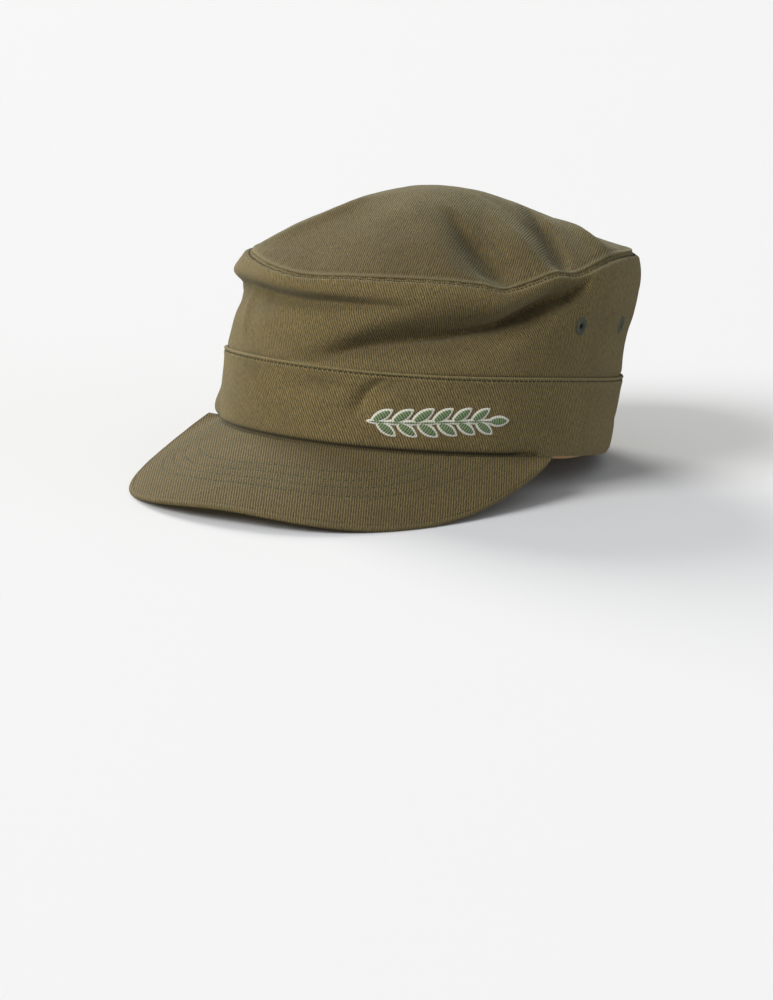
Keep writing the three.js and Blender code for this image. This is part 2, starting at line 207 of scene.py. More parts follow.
# %% The surface of the band
BAND_FOLDS = [
    ("upright", [(0.3, 12, 0, 3, 3), (0.55, 14, 1.4, 3, 3.5), (0.8, 19, 1.2, 4, 4), (0.98, 24, 0, 4, 4)]),
    ("round", [(-18, 0.62, 0, 0.16, 0.16), (-3, 0.68, 0.9, 0.16, 0.16), (9, 0.72, 0, 0.16, 0.16)]),
    ("round", [
        (-116, 0.1, 0, 0.3, 0.3), (-86, 0.1, -3.6, 0.3, 0.3), (-70, 0.1, -4.6, 0.3, 0.3), (-60, 0.1, 0, 0.3, 0.3),
    ]),
    ("round", [
        (-124, 0.9, 0, 0.4, 0.4), (-90, 0.9, 1.4, 0.4, 0.4), (-60, 0.9, 1.2, 0.4, 0.4), (-30, 0.9, 0, 0.4, 0.4),
    ]),
    ("upright", [(0.1, 112, 0, 3, 3), (0.3, 113, 1.2, 3, 4), (0.6, 121, 1.2, 4, 4), (0.9, 124, 0, 4, 4)]),
]


def band_point(turn, share, grow=0.0):
    """Share 0 is the foot of the band and 1 its top edge."""
    turn, share = np.broadcast_arrays(np.asarray(turn, float), np.asarray(share, float))
    point = mix(oval_point(OVALS["foot"], turn), oval_point(OVALS["band_top"], turn), share[..., None])
    return point + outward(turn) * (grow - fold_depth(BAND_FOLDS, turn, share))[..., None]


print("folds in the band:", len(BAND_FOLDS))

# %% The top seam
# Columns: turn, height of the seam, and how far it lies inside its oval.
SEAM = [
    (-160, 89.5, 0), (-125, 88, 0), (-106, 84, 0.5), (-92, 78.5, 1.5), (-80, 75, 2.6), (-62, 73, 3),
    (-44, 70.4, 1.4), (-25, 66.7, 0), (-12, 65.4, 0), (5, 67.1, 0), (28, 69.1, 0), (42, 69.2, 0),
    (49, 68.2, 0), (57, 72, 0), (66, 77.2, 0), (74, 77.6, 0), (85, 83, 0), (97, 87.2, 0),
    (120, 88.8, 0), (150, 90, 0),
]


def seam_point(turn):
    point = oval_point(OVALS["top_seam"], turn, -smooth_round(SEAM, 2, turn))
    point[..., 2] = smooth_round(SEAM, 1, turn)
    return point


print("seam, lowest and highest:", min(row[1] for row in SEAM), max(row[1] for row in SEAM), "mm")

# %% The surface of the wall
# Columns: share up the wall, and how far it swells in front and at the back.
WALL_SWELL = [
    (0, -0.9, -0.9), (0.04, 0, 0), (0.2, 0.2, 0.2), (0.35, 0.6, 1.2), (0.5, 1.2, 3.8), (0.65, 2.2, 5.3),
    (0.8, 3.2, 5.6), (0.9, 3.2, 4.6), (0.96, 2.4, 3), (1, 0, 0),
]
WALL_TUCK = 6
WALL_FOLDS = [
    ("round", [
        (-75, 0.6, 0, 0.1, 0.2), (-60, 0.6, 4, 0.1, 0.2), (-40, 0.66, 3.8, 0.1, 0.22),
        (-22, 0.68, 3, 0.1, 0.2), (-5, 0.69, 2.4, 0.09, 0.16), (17, 0.7, 1.2, 0.08, 0.12),
        (27, 0.72, 0, 0.08, 0.1),
    ]),
    ("round", [
        (-12, 0.02, 0, 0.16, 0.1), (4.5, 0.16, 3.2, 0.2, 0.12), (21.5, 0.33, 6.4, 0.24, 0.18),
        (38, 0.42, 7.2, 0.24, 0.2), (49, 0.53, 7, 0.2, 0.2), (60, 0.68, 6.4, 0.15, 0.2),
        (72, 0.84, 3.6, 0.1, 0.14), (79, 0.95, 0, 0.08, 0.1),
    ]),
    ("upright", [
        (0.05, -34, 0, 2.5, 2.5), (0.3, -36, -1, 2.5, 2.5), (0.6, -39, -1.3, 2.5, 2.5), (0.75, -40, 0, 2.5, 2.5),
    ]),
    ("round", [
        (-104, 0.78, 0, 0.14, 0.1), (-84, 0.76, -2, 0.14, 0.1), (-62, 0.76, -2.6, 0.14, 0.1),
        (-40, 0.8, 0, 0.14, 0.08),
    ]),
    ("round", [(118, 0.42, 0, 0.2, 0.2), (150, 0.36, 2.6, 0.2, 0.2), (185, 0.4, 0, 0.2, 0.2)]),
    ("round", [
        (-168, 0.5, 0, 0.2, 0.2), (-135, 0.4, 2.8, 0.2, 0.2), (-96, 0.3, 2, 0.2, 0.2), (-70, 0.2, 0, 0.2, 0.2),
    ]),
]


def wall_ends(up):
    """One along most of the wall, and zero at its foot and its top, where the folds end."""
    return 1 - np.abs(2 * up - 1) ** 6


def wall_point(turn, share):
    """Share 0 is the band's top edge, 1 the top seam, and -1 the end of the part tucked behind the band."""
    turn, share = np.broadcast_arrays(np.asarray(turn, float), np.asarray(share, float))
    up = np.maximum(share, 0)
    point = mix(band_point(turn, 1, -1), seam_point(turn), up[..., None])
    swell = mix(smooth(WALL_SWELL, 2, up), smooth(WALL_SWELL, 1, up), (1 + cosine(turn)) / 2)
    point = point + outward(turn) * (swell - fold_depth(WALL_FOLDS, turn, up) * wall_ends(up))[..., None]
    point[..., 2] -= (CLOTH + GAP) * up**8
    tucked = band_point(turn, 1 - WALL_TUCK / BAND_HEIGHT, -CLOTH - GAP)
    return mix(point, tucked, np.maximum(-share, 0)[..., None])


print("folds in the wall:", len(WALL_FOLDS))

# %% [markdown]
# ## Materials
# The cloth is brushed cotton twill: fine slanting ribs under a short fuzz that goes pale where it is seen
# edge on. Ribs are a wave across the cloth's own map, which is in metres, so they follow each panel as it was
# cut. The wave is bent a little and broken by long thin noise for uneven yarn, with flecks, darker blotches
# and a sheen for the fuzz. Each panel also has an amount of wear and painted light at every corner of its
# grid. Above zero it makes the cloth paler: rubbed ridges and edges, and painted light along some edges and
# joins. Below zero it is painted shade, darker in the hollows of folds and at tight joins.


# %% A material and its finish
def rgba(*colour):
    return (*colour, 1.0)


def new_material(name, roughness, sheen=0.0, sheen_colour=(1, 1, 1)):
    """A material with its nodes ready, and the finish that is the same all over set on the shader."""
    material = bpy.data.materials.new(name)
    material.use_nodes = True
    shader = material.node_tree.nodes["Principled BSDF"]
    shader.inputs["Roughness"].default_value = roughness
    shader.inputs["Specular IOR Level"].default_value = 0.25
    shader.inputs["Sheen Weight"].default_value = sheen
    shader.inputs["Sheen Roughness"].default_value = 0.45
    shader.inputs["Sheen Tint"].default_value = rgba(*sheen_colour)
    return material, shader


print("materials so far:", len(bpy.data.materials))


# %% Adding and linking nodes
class Nodes:
    """Adds nodes to one material and links them in a line."""

    def __init__(self, material):
        self.tree = material.node_tree

    def fill(self, socket, value):
        """Links a socket to another one, or sets its value."""
        if isinstance(value, bpy.types.NodeSocket):
            self.tree.links.new(value, socket)
        else:
            socket.default_value = value

    def add(self, kind, settings=None, **inputs):
        """A new node. Its inputs are named with _ for a space, or numbered as in _0."""
        node = self.tree.nodes.new(kind)
        for key, value in (settings or {}).items():
            setattr(node, key, value)
        for key, value in inputs.items():
            name = key.replace("_", " ")
            self.fill(node.inputs[name] if name in node.inputs else node.inputs[int(name)], value)
        return node

    def cloth_map(self, turn=0.0, scale=(1, 1, 1)):
        """The piece's own map in metres, turned about its zero and then stretched."""
        flat = self.add("ShaderNodeUVMap", {"uv_map": "cloth"})
        turned_map = self.add("ShaderNodeMapping", Vector=flat.outputs["UV"], Rotation=(0, 0, turn))
        return self.add("ShaderNodeMapping", Vector=turned_map.outputs["Vector"], Scale=scale).outputs["Vector"]

    def noise(self, vector, scale, detail=2.0, roughness=0.5):
        return self.add(
            "ShaderNodeTexNoise", Vector=vector, Scale=scale, Detail=detail, Roughness=roughness
        ).outputs["Fac"]

    def ramp(self, value, low, high, to_low=0.0, to_high=1.0):
        """Stretches the part of a value between low and high."""
        ends = dict(From_Min=low, From_Max=high, To_Min=to_low, To_Max=to_high)
        return self.add("ShaderNodeMapRange", {"clamp": True}, Value=value, **ends).outputs["Result"]

    def maths(self, operation, *values):
        numbered = {f"_{number}": value for number, value in enumerate(values)}
        return self.add("ShaderNodeMath", {"operation": operation}, **numbered).outputs["Value"]

    def blend(self, share, a, b):
        """Mixes two colours."""
        node = self.add("ShaderNodeMix", {"data_type": "RGBA", "blend_type": "MIX"})
        for number, value in ((0, share), (6, a), (7, b)):
            self.fill(node.inputs[number], value)
        return node.outputs[2]


# %% Shades of the twill
OLIVE = (0.153, 0.118, 0.053)
GROOVES = (0.22, 0.22, 0.21), (0.34, 0.34, 0.32)
RIDGES = (1.70, 1.62, 1.44), (1.90, 1.82, 1.62)
PALE_FLECK = (2.1, 2.0, 1.75)
DARK_FLECK = 0.45
BLOTCH = 0.6
# Paler cloth of rubbed edges and painted highlights, then the painted shade of hollows and joins:
RUBBED_AND_PAINTED_LIGHT = (1.75, 1.8, 1.95)
PAINTED_SHADE = 0.12
FUZZ_COLOUR = (0.80, 0.79, 0.54)


def tinted(colour, *shade):
    """A colour made lighter or darker, by one share or by one for each of its three parts."""
    shares = shade if len(shade) == 3 else shade * 3
    return rgba(*(part * share for part, share in zip(colour, shares)))


print("olive in the grooves:", [round(part, 3) for part in tinted(OLIVE, *GROOVES[0])])


# %% Olive twill
def olive_twill(name, rib_angle, painted_light_tone, rib_period, fuzz=0.16):
    """Brushed cotton twill whose ribs lean by rib_angle degrees from upright, to the right where positive."""
    material, shader = new_material(name, 0.95, fuzz, FUZZ_COLOUR)
    n = Nodes(material)
    turn = math.radians(rib_angle)
    # The tone makes this panel's cloth darker or lighter: painted shade on the top and the peak, painted light on
    # the band.
    colour = [c * painted_light_tone for c in OLIVE]
    ribs = n.add(
        "ShaderNodeTexWave", Vector=n.cloth_map(turn), Scale=0.1 * math.pi / rib_period,
        Distortion=2.8, Detail=2.0, Detail_Scale=1.5, Detail_Roughness=0.65,
    ).outputs["Fac"]
    yarn = n.noise(n.cloth_map(turn, (1, 0.35, 1)), 1300, 3.0, 0.7)
    fleck = n.noise(n.cloth_map(turn, (1, 0.34, 1)), 1000, 2.0, 0.5)
    lint = n.noise(n.cloth_map(0), 3200, 2.0, 0.6)
    mottle = n.noise(n.cloth_map(0), 60, 4.0, 0.6)
    patch = n.noise(n.cloth_map(0.4), 16, 3.0, 0.5)
    # Ribs first, their grooves and ridges each between two shades.
    groove = n.blend(n.ramp(mottle, 0.3, 0.7), tinted(colour, *GROOVES[0]), tinted(colour, *GROOVES[1]))
    ridge = n.blend(n.ramp(patch, 0.35, 0.65), tinted(colour, *RIDGES[0]), tinted(colour, *RIDGES[1]))
    yarn_share = n.maths("MULTIPLY", n.ramp(yarn, 0.36, 0.64), 0.36)
    base = n.blend(n.maths("MULTIPLY_ADD", n.ramp(ribs, 0.2, 0.8), 0.66, yarn_share), groove, ridge)
    # Flecks and blotches over them.
    base = n.blend(n.ramp(fleck, 0.64, 0.78, 0.0, 0.5), base, tinted(colour, *PALE_FLECK))
    base = n.blend(n.ramp(fleck, 0.40, 0.28, 0.0, 0.45), base, tinted(colour, DARK_FLECK))
    base = n.blend(n.ramp(mottle, 0.44, 0.68, 0.0, 0.36), base, tinted(colour, BLOTCH))
    # Then the wear of the panel and its painted light: paler above zero, painted shade below zero.
    wear_and_painted_light = n.add("ShaderNodeAttribute", {"attribute_name": "wear_and_painted_light"}).outputs["Fac"]
    rubbed_and_painted_light = n.maths("MULTIPLY", n.ramp(wear_and_painted_light, 0, 1), n.ramp(lint, 0.3, 0.7, 0.35, 1.0))
    base = n.blend(rubbed_and_painted_light, base, tinted(colour, *RUBBED_AND_PAINTED_LIGHT))
    base = n.blend(n.ramp(wear_and_painted_light, 0, -1), base, tinted(colour, PAINTED_SHADE))
    n.fill(shader.inputs["Base Color"], base)
    fine_height = n.maths("MULTIPLY_ADD", yarn, 0.7, n.maths("MULTIPLY", lint, 0.45))
    height = n.maths("MULTIPLY_ADD", ribs, 0.9, fine_height)
    bump = n.add("ShaderNodeBump", Strength=0.8, Distance=0.00022, Height=height)
    n.fill(shader.inputs["Normal"], bump.outputs["Normal"])
    return material


# One olive cloth: the tones paint the top and the peak darker and the band lighter, as painted shade and light.
wall_cloth = olive_twill("wall_twill", -22, 0.99, 0.00100)
band_cloth = olive_twill("band_twill", -27, 1.04, 0.00104)
top_cloth = olive_twill("top_twill", -15, 0.71, 0.00094, 0.20)
peak_cloth = olive_twill("peak_twill", -25.5, 0.76, 0.00105, 0.05)
print("twill materials:", [m.name for m in (wall_cloth, band_cloth, top_cloth, peak_cloth)])


# %% Thread, tape and embroidery
def thread_material(name, colour, sheen=0.15, twist=2600, gaps=0.6):
    """Spun thread: thin slanting strands, darker between them. Twist is the number of strands in a metre."""
    material, shader = new_material(name, 0.75, sheen)
    n = Nodes(material)
    strands = n.add(
        "ShaderNodeTexWave", Vector=n.cloth_map(0.7), Scale=0.1 * math.pi * twist, Distortion=1.2, Detail=1.0,
    ).outputs["Fac"]
    uneven_spin = n.noise(n.cloth_map(0, (1, 0.3, 1)), 900, 3.0)
    base = n.blend(strands, tinted(colour, gaps), tinted(colour, 1.85 - gaps))
    base = n.blend(n.ramp(uneven_spin, 0.4, 0.75, 0.0, 0.5), base, tinted(colour, 1.3))
    n.fill(shader.inputs["Base Color"], base)
    bump = n.add("ShaderNodeBump", Strength=0.8, Distance=0.0001, Height=strands)
    n.fill(shader.inputs["Normal"], bump.outputs["Normal"])
    return material


seam_thread = thread_material("seam_thread", (0.033, 0.038, 0.017), 0.05)
peak_thread = thread_material("peak_thread", (0.044, 0.057, 0.021))
eyelet_thread = thread_material("eyelet_thread", (0.092, 0.097, 0.064), gaps=0.35)
leaf_thread = thread_material("leaf_thread", (0.150, 0.205, 0.098), 0.2, 1150, 0.3)
edging_thread = thread_material("edging_thread", (0.66, 0.63, 0.53), 0.2, 1150, 0.7)
tan_tape = thread_material("tan_tape", (0.36, 0.22, 0.095), 0.1, 1100)
print("materials in all:", len(bpy.data.materials))

# %% [markdown]
# ## Sheets of cloth
# Every panel is one flat grid whose corners are moved onto its surface. Round the cap the grid closes on
# itself. Across, it runs up the outside, over a rounded edge, down the inside and round the lower edge, so
# the cloth is a closed wall with its real thickness and soft edges, and needs no modifier for them.


# %% Directions on a surface
def surface_ways(surface, u, share, low=0, u_step=0.4, share_step=0.004):
    """The outward and the upward direction of a surface at each place, with shares from low to 1."""
    below = np.maximum(share - share_step, low)
    above = np.minimum(share + share_step, 1)
    around = surface(u + u_step, share) - surface(u - u_step, share)
    upward = surface(u, above) - surface(u, below)
    out = np.cross(around, upward)
    out /= np.maximum(np.linalg.norm(out, axis=-1, keepdims=True), 1e-9)
    upward /= np.maximum(np.linalg.norm(upward, axis=-1, keepdims=True), 1e-9)
    return out, upward


def outside_of(surface, relief, turn, share, low=0):
    """The outer face of a panel with its relief, and its outward and upward directions."""
    out, up = surface_ways(surface, turn, share, low)
    point = surface(turn, share)
    return point + out * relief(point, turn, share)[..., None], out, up


def moved(point, out, up, outwards, upwards):
    """Places in the scene, after a move outwards and upwards by millimetres."""
    return to_scene(point + out * outwards[:, None] + up * upwards[:, None])


print("the front of the band faces", surface_ways(band_point, np.zeros(1), np.full(1, 0.5))[0][0].round(2))


# %% The rows and columns of a panel's grid
def section_rows(shares, inner_shares, roll=5):
    """The rows of a cloth wall's section: share, depth into the cloth, rise past the edge, and how much of
    the outside's relief the row takes. Depth and rise are shares of the cloth's thickness."""
    turns = [math.pi * k / (roll + 1) for k in range(1, roll + 1)]
    rows = [(share, 0, 0, 1) for share in shares]
    rows += [(shares[-1], (1 - math.cos(t)) / 2, math.sin(t) / 2, (1 + math.cos(t)) / 2) for t in turns]
    rows += [(share, 1, 0, 0) for share in inner_shares]
    rows += [(shares[0], (1 + math.cos(t)) / 2, -math.sin(t) / 2, (1 - math.cos(t)) / 2) for t in turns]
    return np.array(rows, float)


def closing_turn(column, columns):
    """The turn of a column; the last column lies on the first."""
    return -180 + 360 * (column % columns) / columns


def map_turn(column, columns):
    """The same for the flat map, where the last column lies a whole round further on."""
    return -180 + 360 * column / columns


print("rows in the simplest section:", len(section_rows([0, 1], [1, 0])))


# %% The grid that becomes a panel
def no_wear_or_painted_light(i, j):
    return np.zeros(len(i))


def cloth_grid(columns, row_count, place, flat_map, wear_and_painted_light=no_wear_or_painted_light):
    """A grid of faces moved so that corner (column, row) lies at its place, with its flat map in metres and its
    amounts of wear and painted light and shade.
    """
    bm = bmesh.new()
    bmesh.ops.create_grid(bm, x_segments=columns, y_segments=row_count, size=1)
    bm.verts.index_update()
    at = np.array([v.co[:2] for v in bm.verts])
    i = np.rint((at[:, 0] + 1) / 2 * columns).astype(int)
    j = np.rint((at[:, 1] + 1) / 2 * row_count).astype(int)
    points, flat, worn_and_painted = place(i, j), flat_map(i, j), wear_and_painted_light(i, j)
    uv_layer = bm.loops.layers.uv.new("cloth")
    wear_and_painted_light_layer = bm.verts.layers.float.new("wear_and_painted_light")
    for vert, point, amount in zip(bm.verts, points, worn_and_painted):
        vert.co = point
        vert[wear_and_painted_light_layer] = amount
    for face in bm.faces:
        for loop in face.loops:
            loop[uv_layer].uv = flat[loop.vert.index]
    return bm


# %% From a grid to a piece of the cap
TOUCHING = 2e-6


def finish_piece(bm, name, material, nodes=(), close=True):
    """Merges the doubles, makes the mesh an object of the cap and hides the solids that it stands in for."""
    if close:
        bmesh.ops.remove_doubles(bm, verts=bm.verts, dist=TOUCHING)
        bmesh.ops.recalc_face_normals(bm, faces=bm.faces)
    open_edges = sum(edge.is_boundary for edge in bm.edges)
    for face in bm.faces:
        face.smooth = True
    mesh = bpy.data.meshes.new(name)
    bm.to_mesh(mesh)
    bm.free()
    mesh.materials.append(material)
    piece = bpy.data.objects.new(name, mesh)
    bpy.context.scene.collection.objects.link(piece)
    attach(piece, "root")
    if nodes:
        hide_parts(*nodes)
    print(name, "faces", len(mesh.polygons), "open edges", open_edges)
    return piece


# %% Lengths round the cap
ROUND = np.linspace(-200, 200, 4001)
steps = np.linalg.norm(np.diff(oval_point(OVALS["band_top"], ROUND), axis=0), axis=1)
ROUND_LENGTH = np.concatenate([[0], np.cumsum(steps)])
ROUND_LENGTH -= np.interp(0, ROUND, ROUND_LENGTH)


def length_at(turn):
    """Millimetres round the band from the front to a turn."""
    return np.interp(turn, ROUND, ROUND_LENGTH)


def turn_at(length):
    return np.interp(length, ROUND_LENGTH, ROUND)


HALF_ROUND = float(length_at(180))
print("round the band:", round(float(length_at(180) - length_at(-180))), "mm")


# %% [markdown]
# ## Relief of the cloth
# Three things shape the cloth finely. Lines are the grooves and ridges along an edge or a seam. Puckers are
# the small uneven ripples where a row of stitches gathers the cloth. Hills are the soft bumps all over it,
# from smooth noise, because no worn cloth lies quite flat.


# %% Lines, puckers, hills, and the wear and painted shade of folds
def line(distance, middle, width):
    """One at the middle of a line and soon zero beside it."""
    return np.exp(-(((distance - middle) / width) ** 2))


def lines(distance, table):
    """Lines side by side. Columns: height, distance of the middle, and width, in millimetres."""
    return sum(height * line(distance, middle, width) for height, middle, width in table)


def puckers(length, size, sway, sway_size, fine, fine_size, fine_start=0.0):
    """Ripples along a seam, some closer together than others, with finer ones among them."""
    ripples = np.sin(length / size + sway * np.sin(length / sway_size))
    return ripples + fine * np.sin(length / fine_size + fine_start)


def uneven(points, size, seed):
    """Soft hills and hollows between -1 and 1, about size millimetres wide."""
    shift = Vector((seed * 7.3, seed * 3.1, seed * 5.7))
    return np.array([noise.noise(Vector(p) / size + shift) for p in points])


def hills(points, table):
    """Columns: height and size in millimetres, and a seed."""
    return sum(height * uneven(points, size, seed) for height, size, seed in table)


def fold_wear_and_painted_shade(hollow, paler, painted_shade_per_mm, deepest):
    """Ridges are rubbed paler, and hollows get painted shade, darker by an amount for each millimetre of their
    depth.
    """
    return paler * np.clip(-hollow / 3, 0, 1) - painted_shade_per_mm * np.clip(hollow, 0, deepest)


print("a line in its middle and one width beside it:", line(np.array([0.0, 1.0]), 0, 1).round(2))


# %% [markdown]
# ## The crown wall
# The wall is the soft side of the crown. It comes out from behind the band, swells, folds and meets the top
# panel in a seam. A row of stitches sits in a shallow groove just under that seam and gathers the cloth into
# small puckers, so the relief dips there and ripples away from it.

# %% Sharper creases in the wall, for the cloth alone
WALL_CREASES = [
    ("round", [
        (-12, 0.0, 0, 0.07, 0.03), (-4, 0.04, 2.3, 0.1, 0.03), (3, 0.125, 3.5, 0.11, 0.03),
        (11.5, 0.25, 4.2, 0.12, 0.035), (22, 0.32, 4.6, 0.12, 0.035), (36, 0.41, 5.2, 0.12, 0.04),
        (54, 0.585, 6.2, 0.12, 0.045), (63, 0.66, 6.3, 0.11, 0.045), (70, 0.735, 5.3, 0.09, 0.04),
        (75, 0.835, 3.1, 0.07, 0.03), (78, 0.9, 1, 0.05, 0.03), (81, 0.96, 0, 0.04, 0.03),
    ]),
    ("round", [
        (-48, 0.67, 0, 0.06, 0.08), (-32, 0.7, 2.3, 0.07, 0.09), (-18, 0.715, 3.3, 0.07, 0.09),
        (-7, 0.71, 3.2, 0.06, 0.08), (6, 0.695, 2.4, 0.055, 0.08), (16, 0.69, 1, 0.045, 0.07),
        (25, 0.69, 0, 0.04, 0.06),
    ]),
    ("upright", [(0.45, -24, 0, 2, 2), (0.56, -25, 0.7, 1.6, 2.6), (0.7, -28, 0.9, 1.6, 3), (0.8, -31, 0, 2, 3)]),
    ("upright", [(0.02, 63, 0, 2, 2), (0.2, 63, 0.35, 1, 4), (0.36, 62.5, 0.35, 1, 4), (0.5, 62, 0, 2, 2)]),
]
WALL_RISE = 1.35


def wall_cloth_point(turn, share):
    """The wall with its sharp creases. Its top edge reaches up to just under the edge of the top panel."""
    point = wall_point(turn, share)
    up = np.maximum(share, 0)
    ends = wall_ends(up) * np.clip(up / 0.03, 0, 1)
    point = point - outward(turn) * (fold_depth(WALL_CREASES, turn, up) * ends)[..., None]
    point[..., 2] += WALL_RISE * up**8
    return point


print("creases in the wall:", len(WALL_CREASES))

# %% The wall's relief
WALL_LENGTH = 48
WALL_EDGE_LINES = [(-0.45, 0.8, 0.65), (0.24, 2.4, 0.8)]
WALL_HILLS = [(0.30, 15, 1), (0.10, 5.5, 2)]
BACK_SEAM_LINES = [(-0.6, 0, 0.9), (0.22, 2.6, 1.1)]


def below_seam(share):
    """Millimetres below the wall's top edge, near enough."""
    return (1 - share) * WALL_LENGTH


def back_seam(length):
    """The seam at the middle of the back: a groove with a soft ridge on both sides."""
    return lines(HALF_ROUND - np.abs(length), BACK_SEAM_LINES)


def wall_relief(points, turn, share):
    down = below_seam(share)
    length = length_at(wrapped(turn))
    ripple = puckers(length, 1.15, 1.7, 9.1, 0.6, 0.71, 2)
    relief = lines(down, WALL_EDGE_LINES) + 0.15 * ripple * np.exp(-np.maximum(down - 0.8, 0) / 3)
    relief += hills(points, WALL_HILLS) + back_seam(length)
    return relief * np.clip(share / 0.05, 0, 1)


def wall_outside(turn, share):
    return outside_of(wall_cloth_point, wall_relief, turn, share, -1)


print("front of the wall, halfway up:", wall_outside(np.zeros(1), np.full(1, 0.5))[0][0].round(1))


# %% The wall's grid
WALL_COLUMNS = 480
WALL_CLOTH = 1.5
WALL_MAP_LENGTH = 52
wall_shares = np.concatenate([
    np.linspace(-1, 0, 5)[:-1], np.linspace(0, 0.88, 72)[:-1], np.linspace(0.88, 1, 26),
])
wall_rows = section_rows(wall_shares, np.linspace(1, -1, 40))


def wall_place(i, j):
    share, depth, rise, relief = wall_rows[j % len(wall_rows)].T
    turn = closing_turn(i, WALL_COLUMNS)
    out, up = surface_ways(wall_cloth_point, turn, share, -1)
    point = wall_cloth_point(turn, share)
    outwards = wall_relief(point, turn, share) * relief - WALL_CLOTH * depth
    return moved(point, out, up, outwards, WALL_CLOTH * np.minimum(rise, 0.15))


def wall_map(i, j):
    share = wall_rows[j % len(wall_rows)][:, 0]
    return np.stack([length_at(map_turn(i, WALL_COLUMNS)), share * WALL_MAP_LENGTH], -1) * MM


def wall_wear_and_painted_light(i, j):
    """Rubbed ridges and the swelling under the seam paler, a painted light along the foot, painted shade in the
    hollows.
    """
    share, depth = wall_rows[j % len(wall_rows)][:, :2].T
    hollow = fold_depth(WALL_FOLDS + WALL_CREASES, closing_turn(i, WALL_COLUMNS), np.maximum(share, 0))
    worn_and_painted = fold_wear_and_painted_shade(hollow, 0.15, 0.06, 4) + 0.12 * line(below_seam(share), 2.5, 0.9)
    # A painted light along the foot, over the shade where the wall meets the band's rolled edge.
    worn_and_painted += 0.6 * line(share * WALL_LENGTH, 0.4, 0.8)
    return worn_and_painted * (depth < 0.5)


bm = cloth_grid(WALL_COLUMNS, len(wall_rows), wall_place, wall_map, wall_wear_and_painted_light)
crown_wall = finish_piece(bm, "crown_wall_cloth", wall_cloth, ["crown_wall"])

# %% [markdown]
# ## The top panel
# The oval top is one flat piece of cloth that sags from its highest point down to the seam. Its grid runs
# round and inwards and closes in a pole at the top. Its map is seen from straight above, as the panel was
# cut. Its edge turns under in a thin roll that stands a little proud of the wall.

# %% Folds of the top
TOP_FOLDS = [
    ("out", [
        (0.3, -27, 0, 10, 6), (0.5, -34, -1.2, 12, 7), (0.8, -42, -2, 14, 8), (0.97, -48, -1, 14, 8),
        (1, -49, 0, 14, 8),
    ]),
    ("out", [(0.5, 35, 0, 6, 8), (0.72, 39, 2.2, 5, 8), (0.88, 43, 2.6, 4, 8), (1, 47, 0, 4, 8)]),
    ("out", [(0.55, 58, 0, 9, 9), (0.78, 57, -1.4, 8, 8), (1, 57, 0, 6, 6)]),
    ("out", [
        (0.42, 94, 0, 7, 7), (0.57, 85, 1.8, 5, 8), (0.76, 76, 2.6, 4, 9), (0.92, 70, 2, 4, 8), (1, 68, 0, 4, 8),
    ]),
    ("out", [(0.55, 102, 0, 9, 9), (0.78, 96, -0.8, 8, 7), (0.95, 92, -0.8, 8, 7), (1, 91, 0, 8, 7)]),
    ("out", [(0.2, 124, 0, 30, 30), (0.5, 126, 1.5, 28, 30), (0.8, 128, 2.2, 26, 30), (1, 130, 0, 26, 30)]),
    ("out", [(0.35, 190, 0, 14, 14), (0.7, 200, 1.8, 14, 14), (1, 206, 0, 14, 14)]),
]
TOP_CREASES = [
    ("out", [
        (0.34, -44, 0, 5, 4), (0.45, -38.5, -0.8, 6, 3.5), (0.58, -34.5, -1.4, 6, 3), (0.7, -35.8, -1.8, 5, 2.6),
        (0.86, -40.8, -2, 4.5, 2.4), (0.95, -47, -1.2, 4, 2.4), (1, -51, 0, 4, 2.4),
    ]),
    ("out", [(0.5, -43, 0, 3, 5), (0.7, -43, 0.8, 3, 5), (0.88, -48.5, 0.9, 3, 5), (1, -56, 0, 3, 5)]),
    ("out", [
        (0.44, 30, 0, 4, 7), (0.55, 36.5, 2.2, 3, 7), (0.64, 41.8, 4.3, 2.4, 7), (0.74, 45.5, 5.4, 2.2, 6.8),
        (0.87, 48.8, 4.4, 2, 6.4), (0.95, 50.2, 1.8, 1.8, 4), (1, 51, 0, 1.8, 4),
    ]),
    ("out", [
        (0.56, 46, 0, 2, 2), (0.66, 49.6, 0.9, 1.4, 2), (0.76, 52.4, 1.4, 1.2, 2.2), (0.88, 54.6, 1.1, 1.2, 2),
        (0.97, 55.4, 0, 1, 2),
    ]),
    ("out", [
        (0.42, 61, 0, 4, 4), (0.55, 61, -0.8, 3, 3.5), (0.76, 62, -1.3, 2.6, 3.2), (0.92, 63.5, -0.9, 2.4, 3),
        (1, 64, 0, 2, 3),
    ]),
    ("out", [
        (0.4, 103, 0, 4, 6), (0.5, 95.5, 1.6, 3, 6), (0.6, 88.5, 3.2, 2.2, 6), (0.74, 81.5, 3.9, 2, 5.5),
        (0.9, 75, 3, 1.8, 4.5), (0.97, 72, 1.2, 1.6, 3), (1, 71, 0, 1.6, 3),
    ]),
    ("out", [
        (0.55, 108, 0, 4, 5), (0.68, 103, -1.5, 2.4, 4), (0.83, 95.5, -2.3, 2, 3.4), (0.97, 92.5, -1.4, 1.8, 3),
        (1, 92, 0, 1.8, 3),
    ]),
]
print("folds and creases in the top:", len(TOP_FOLDS), len(TOP_CREASES))

# %% The surface of the top
TOP = dict(z=108.5, y=4.5, front=1.75, side=1.58, back=1.6, roundness=0.2)


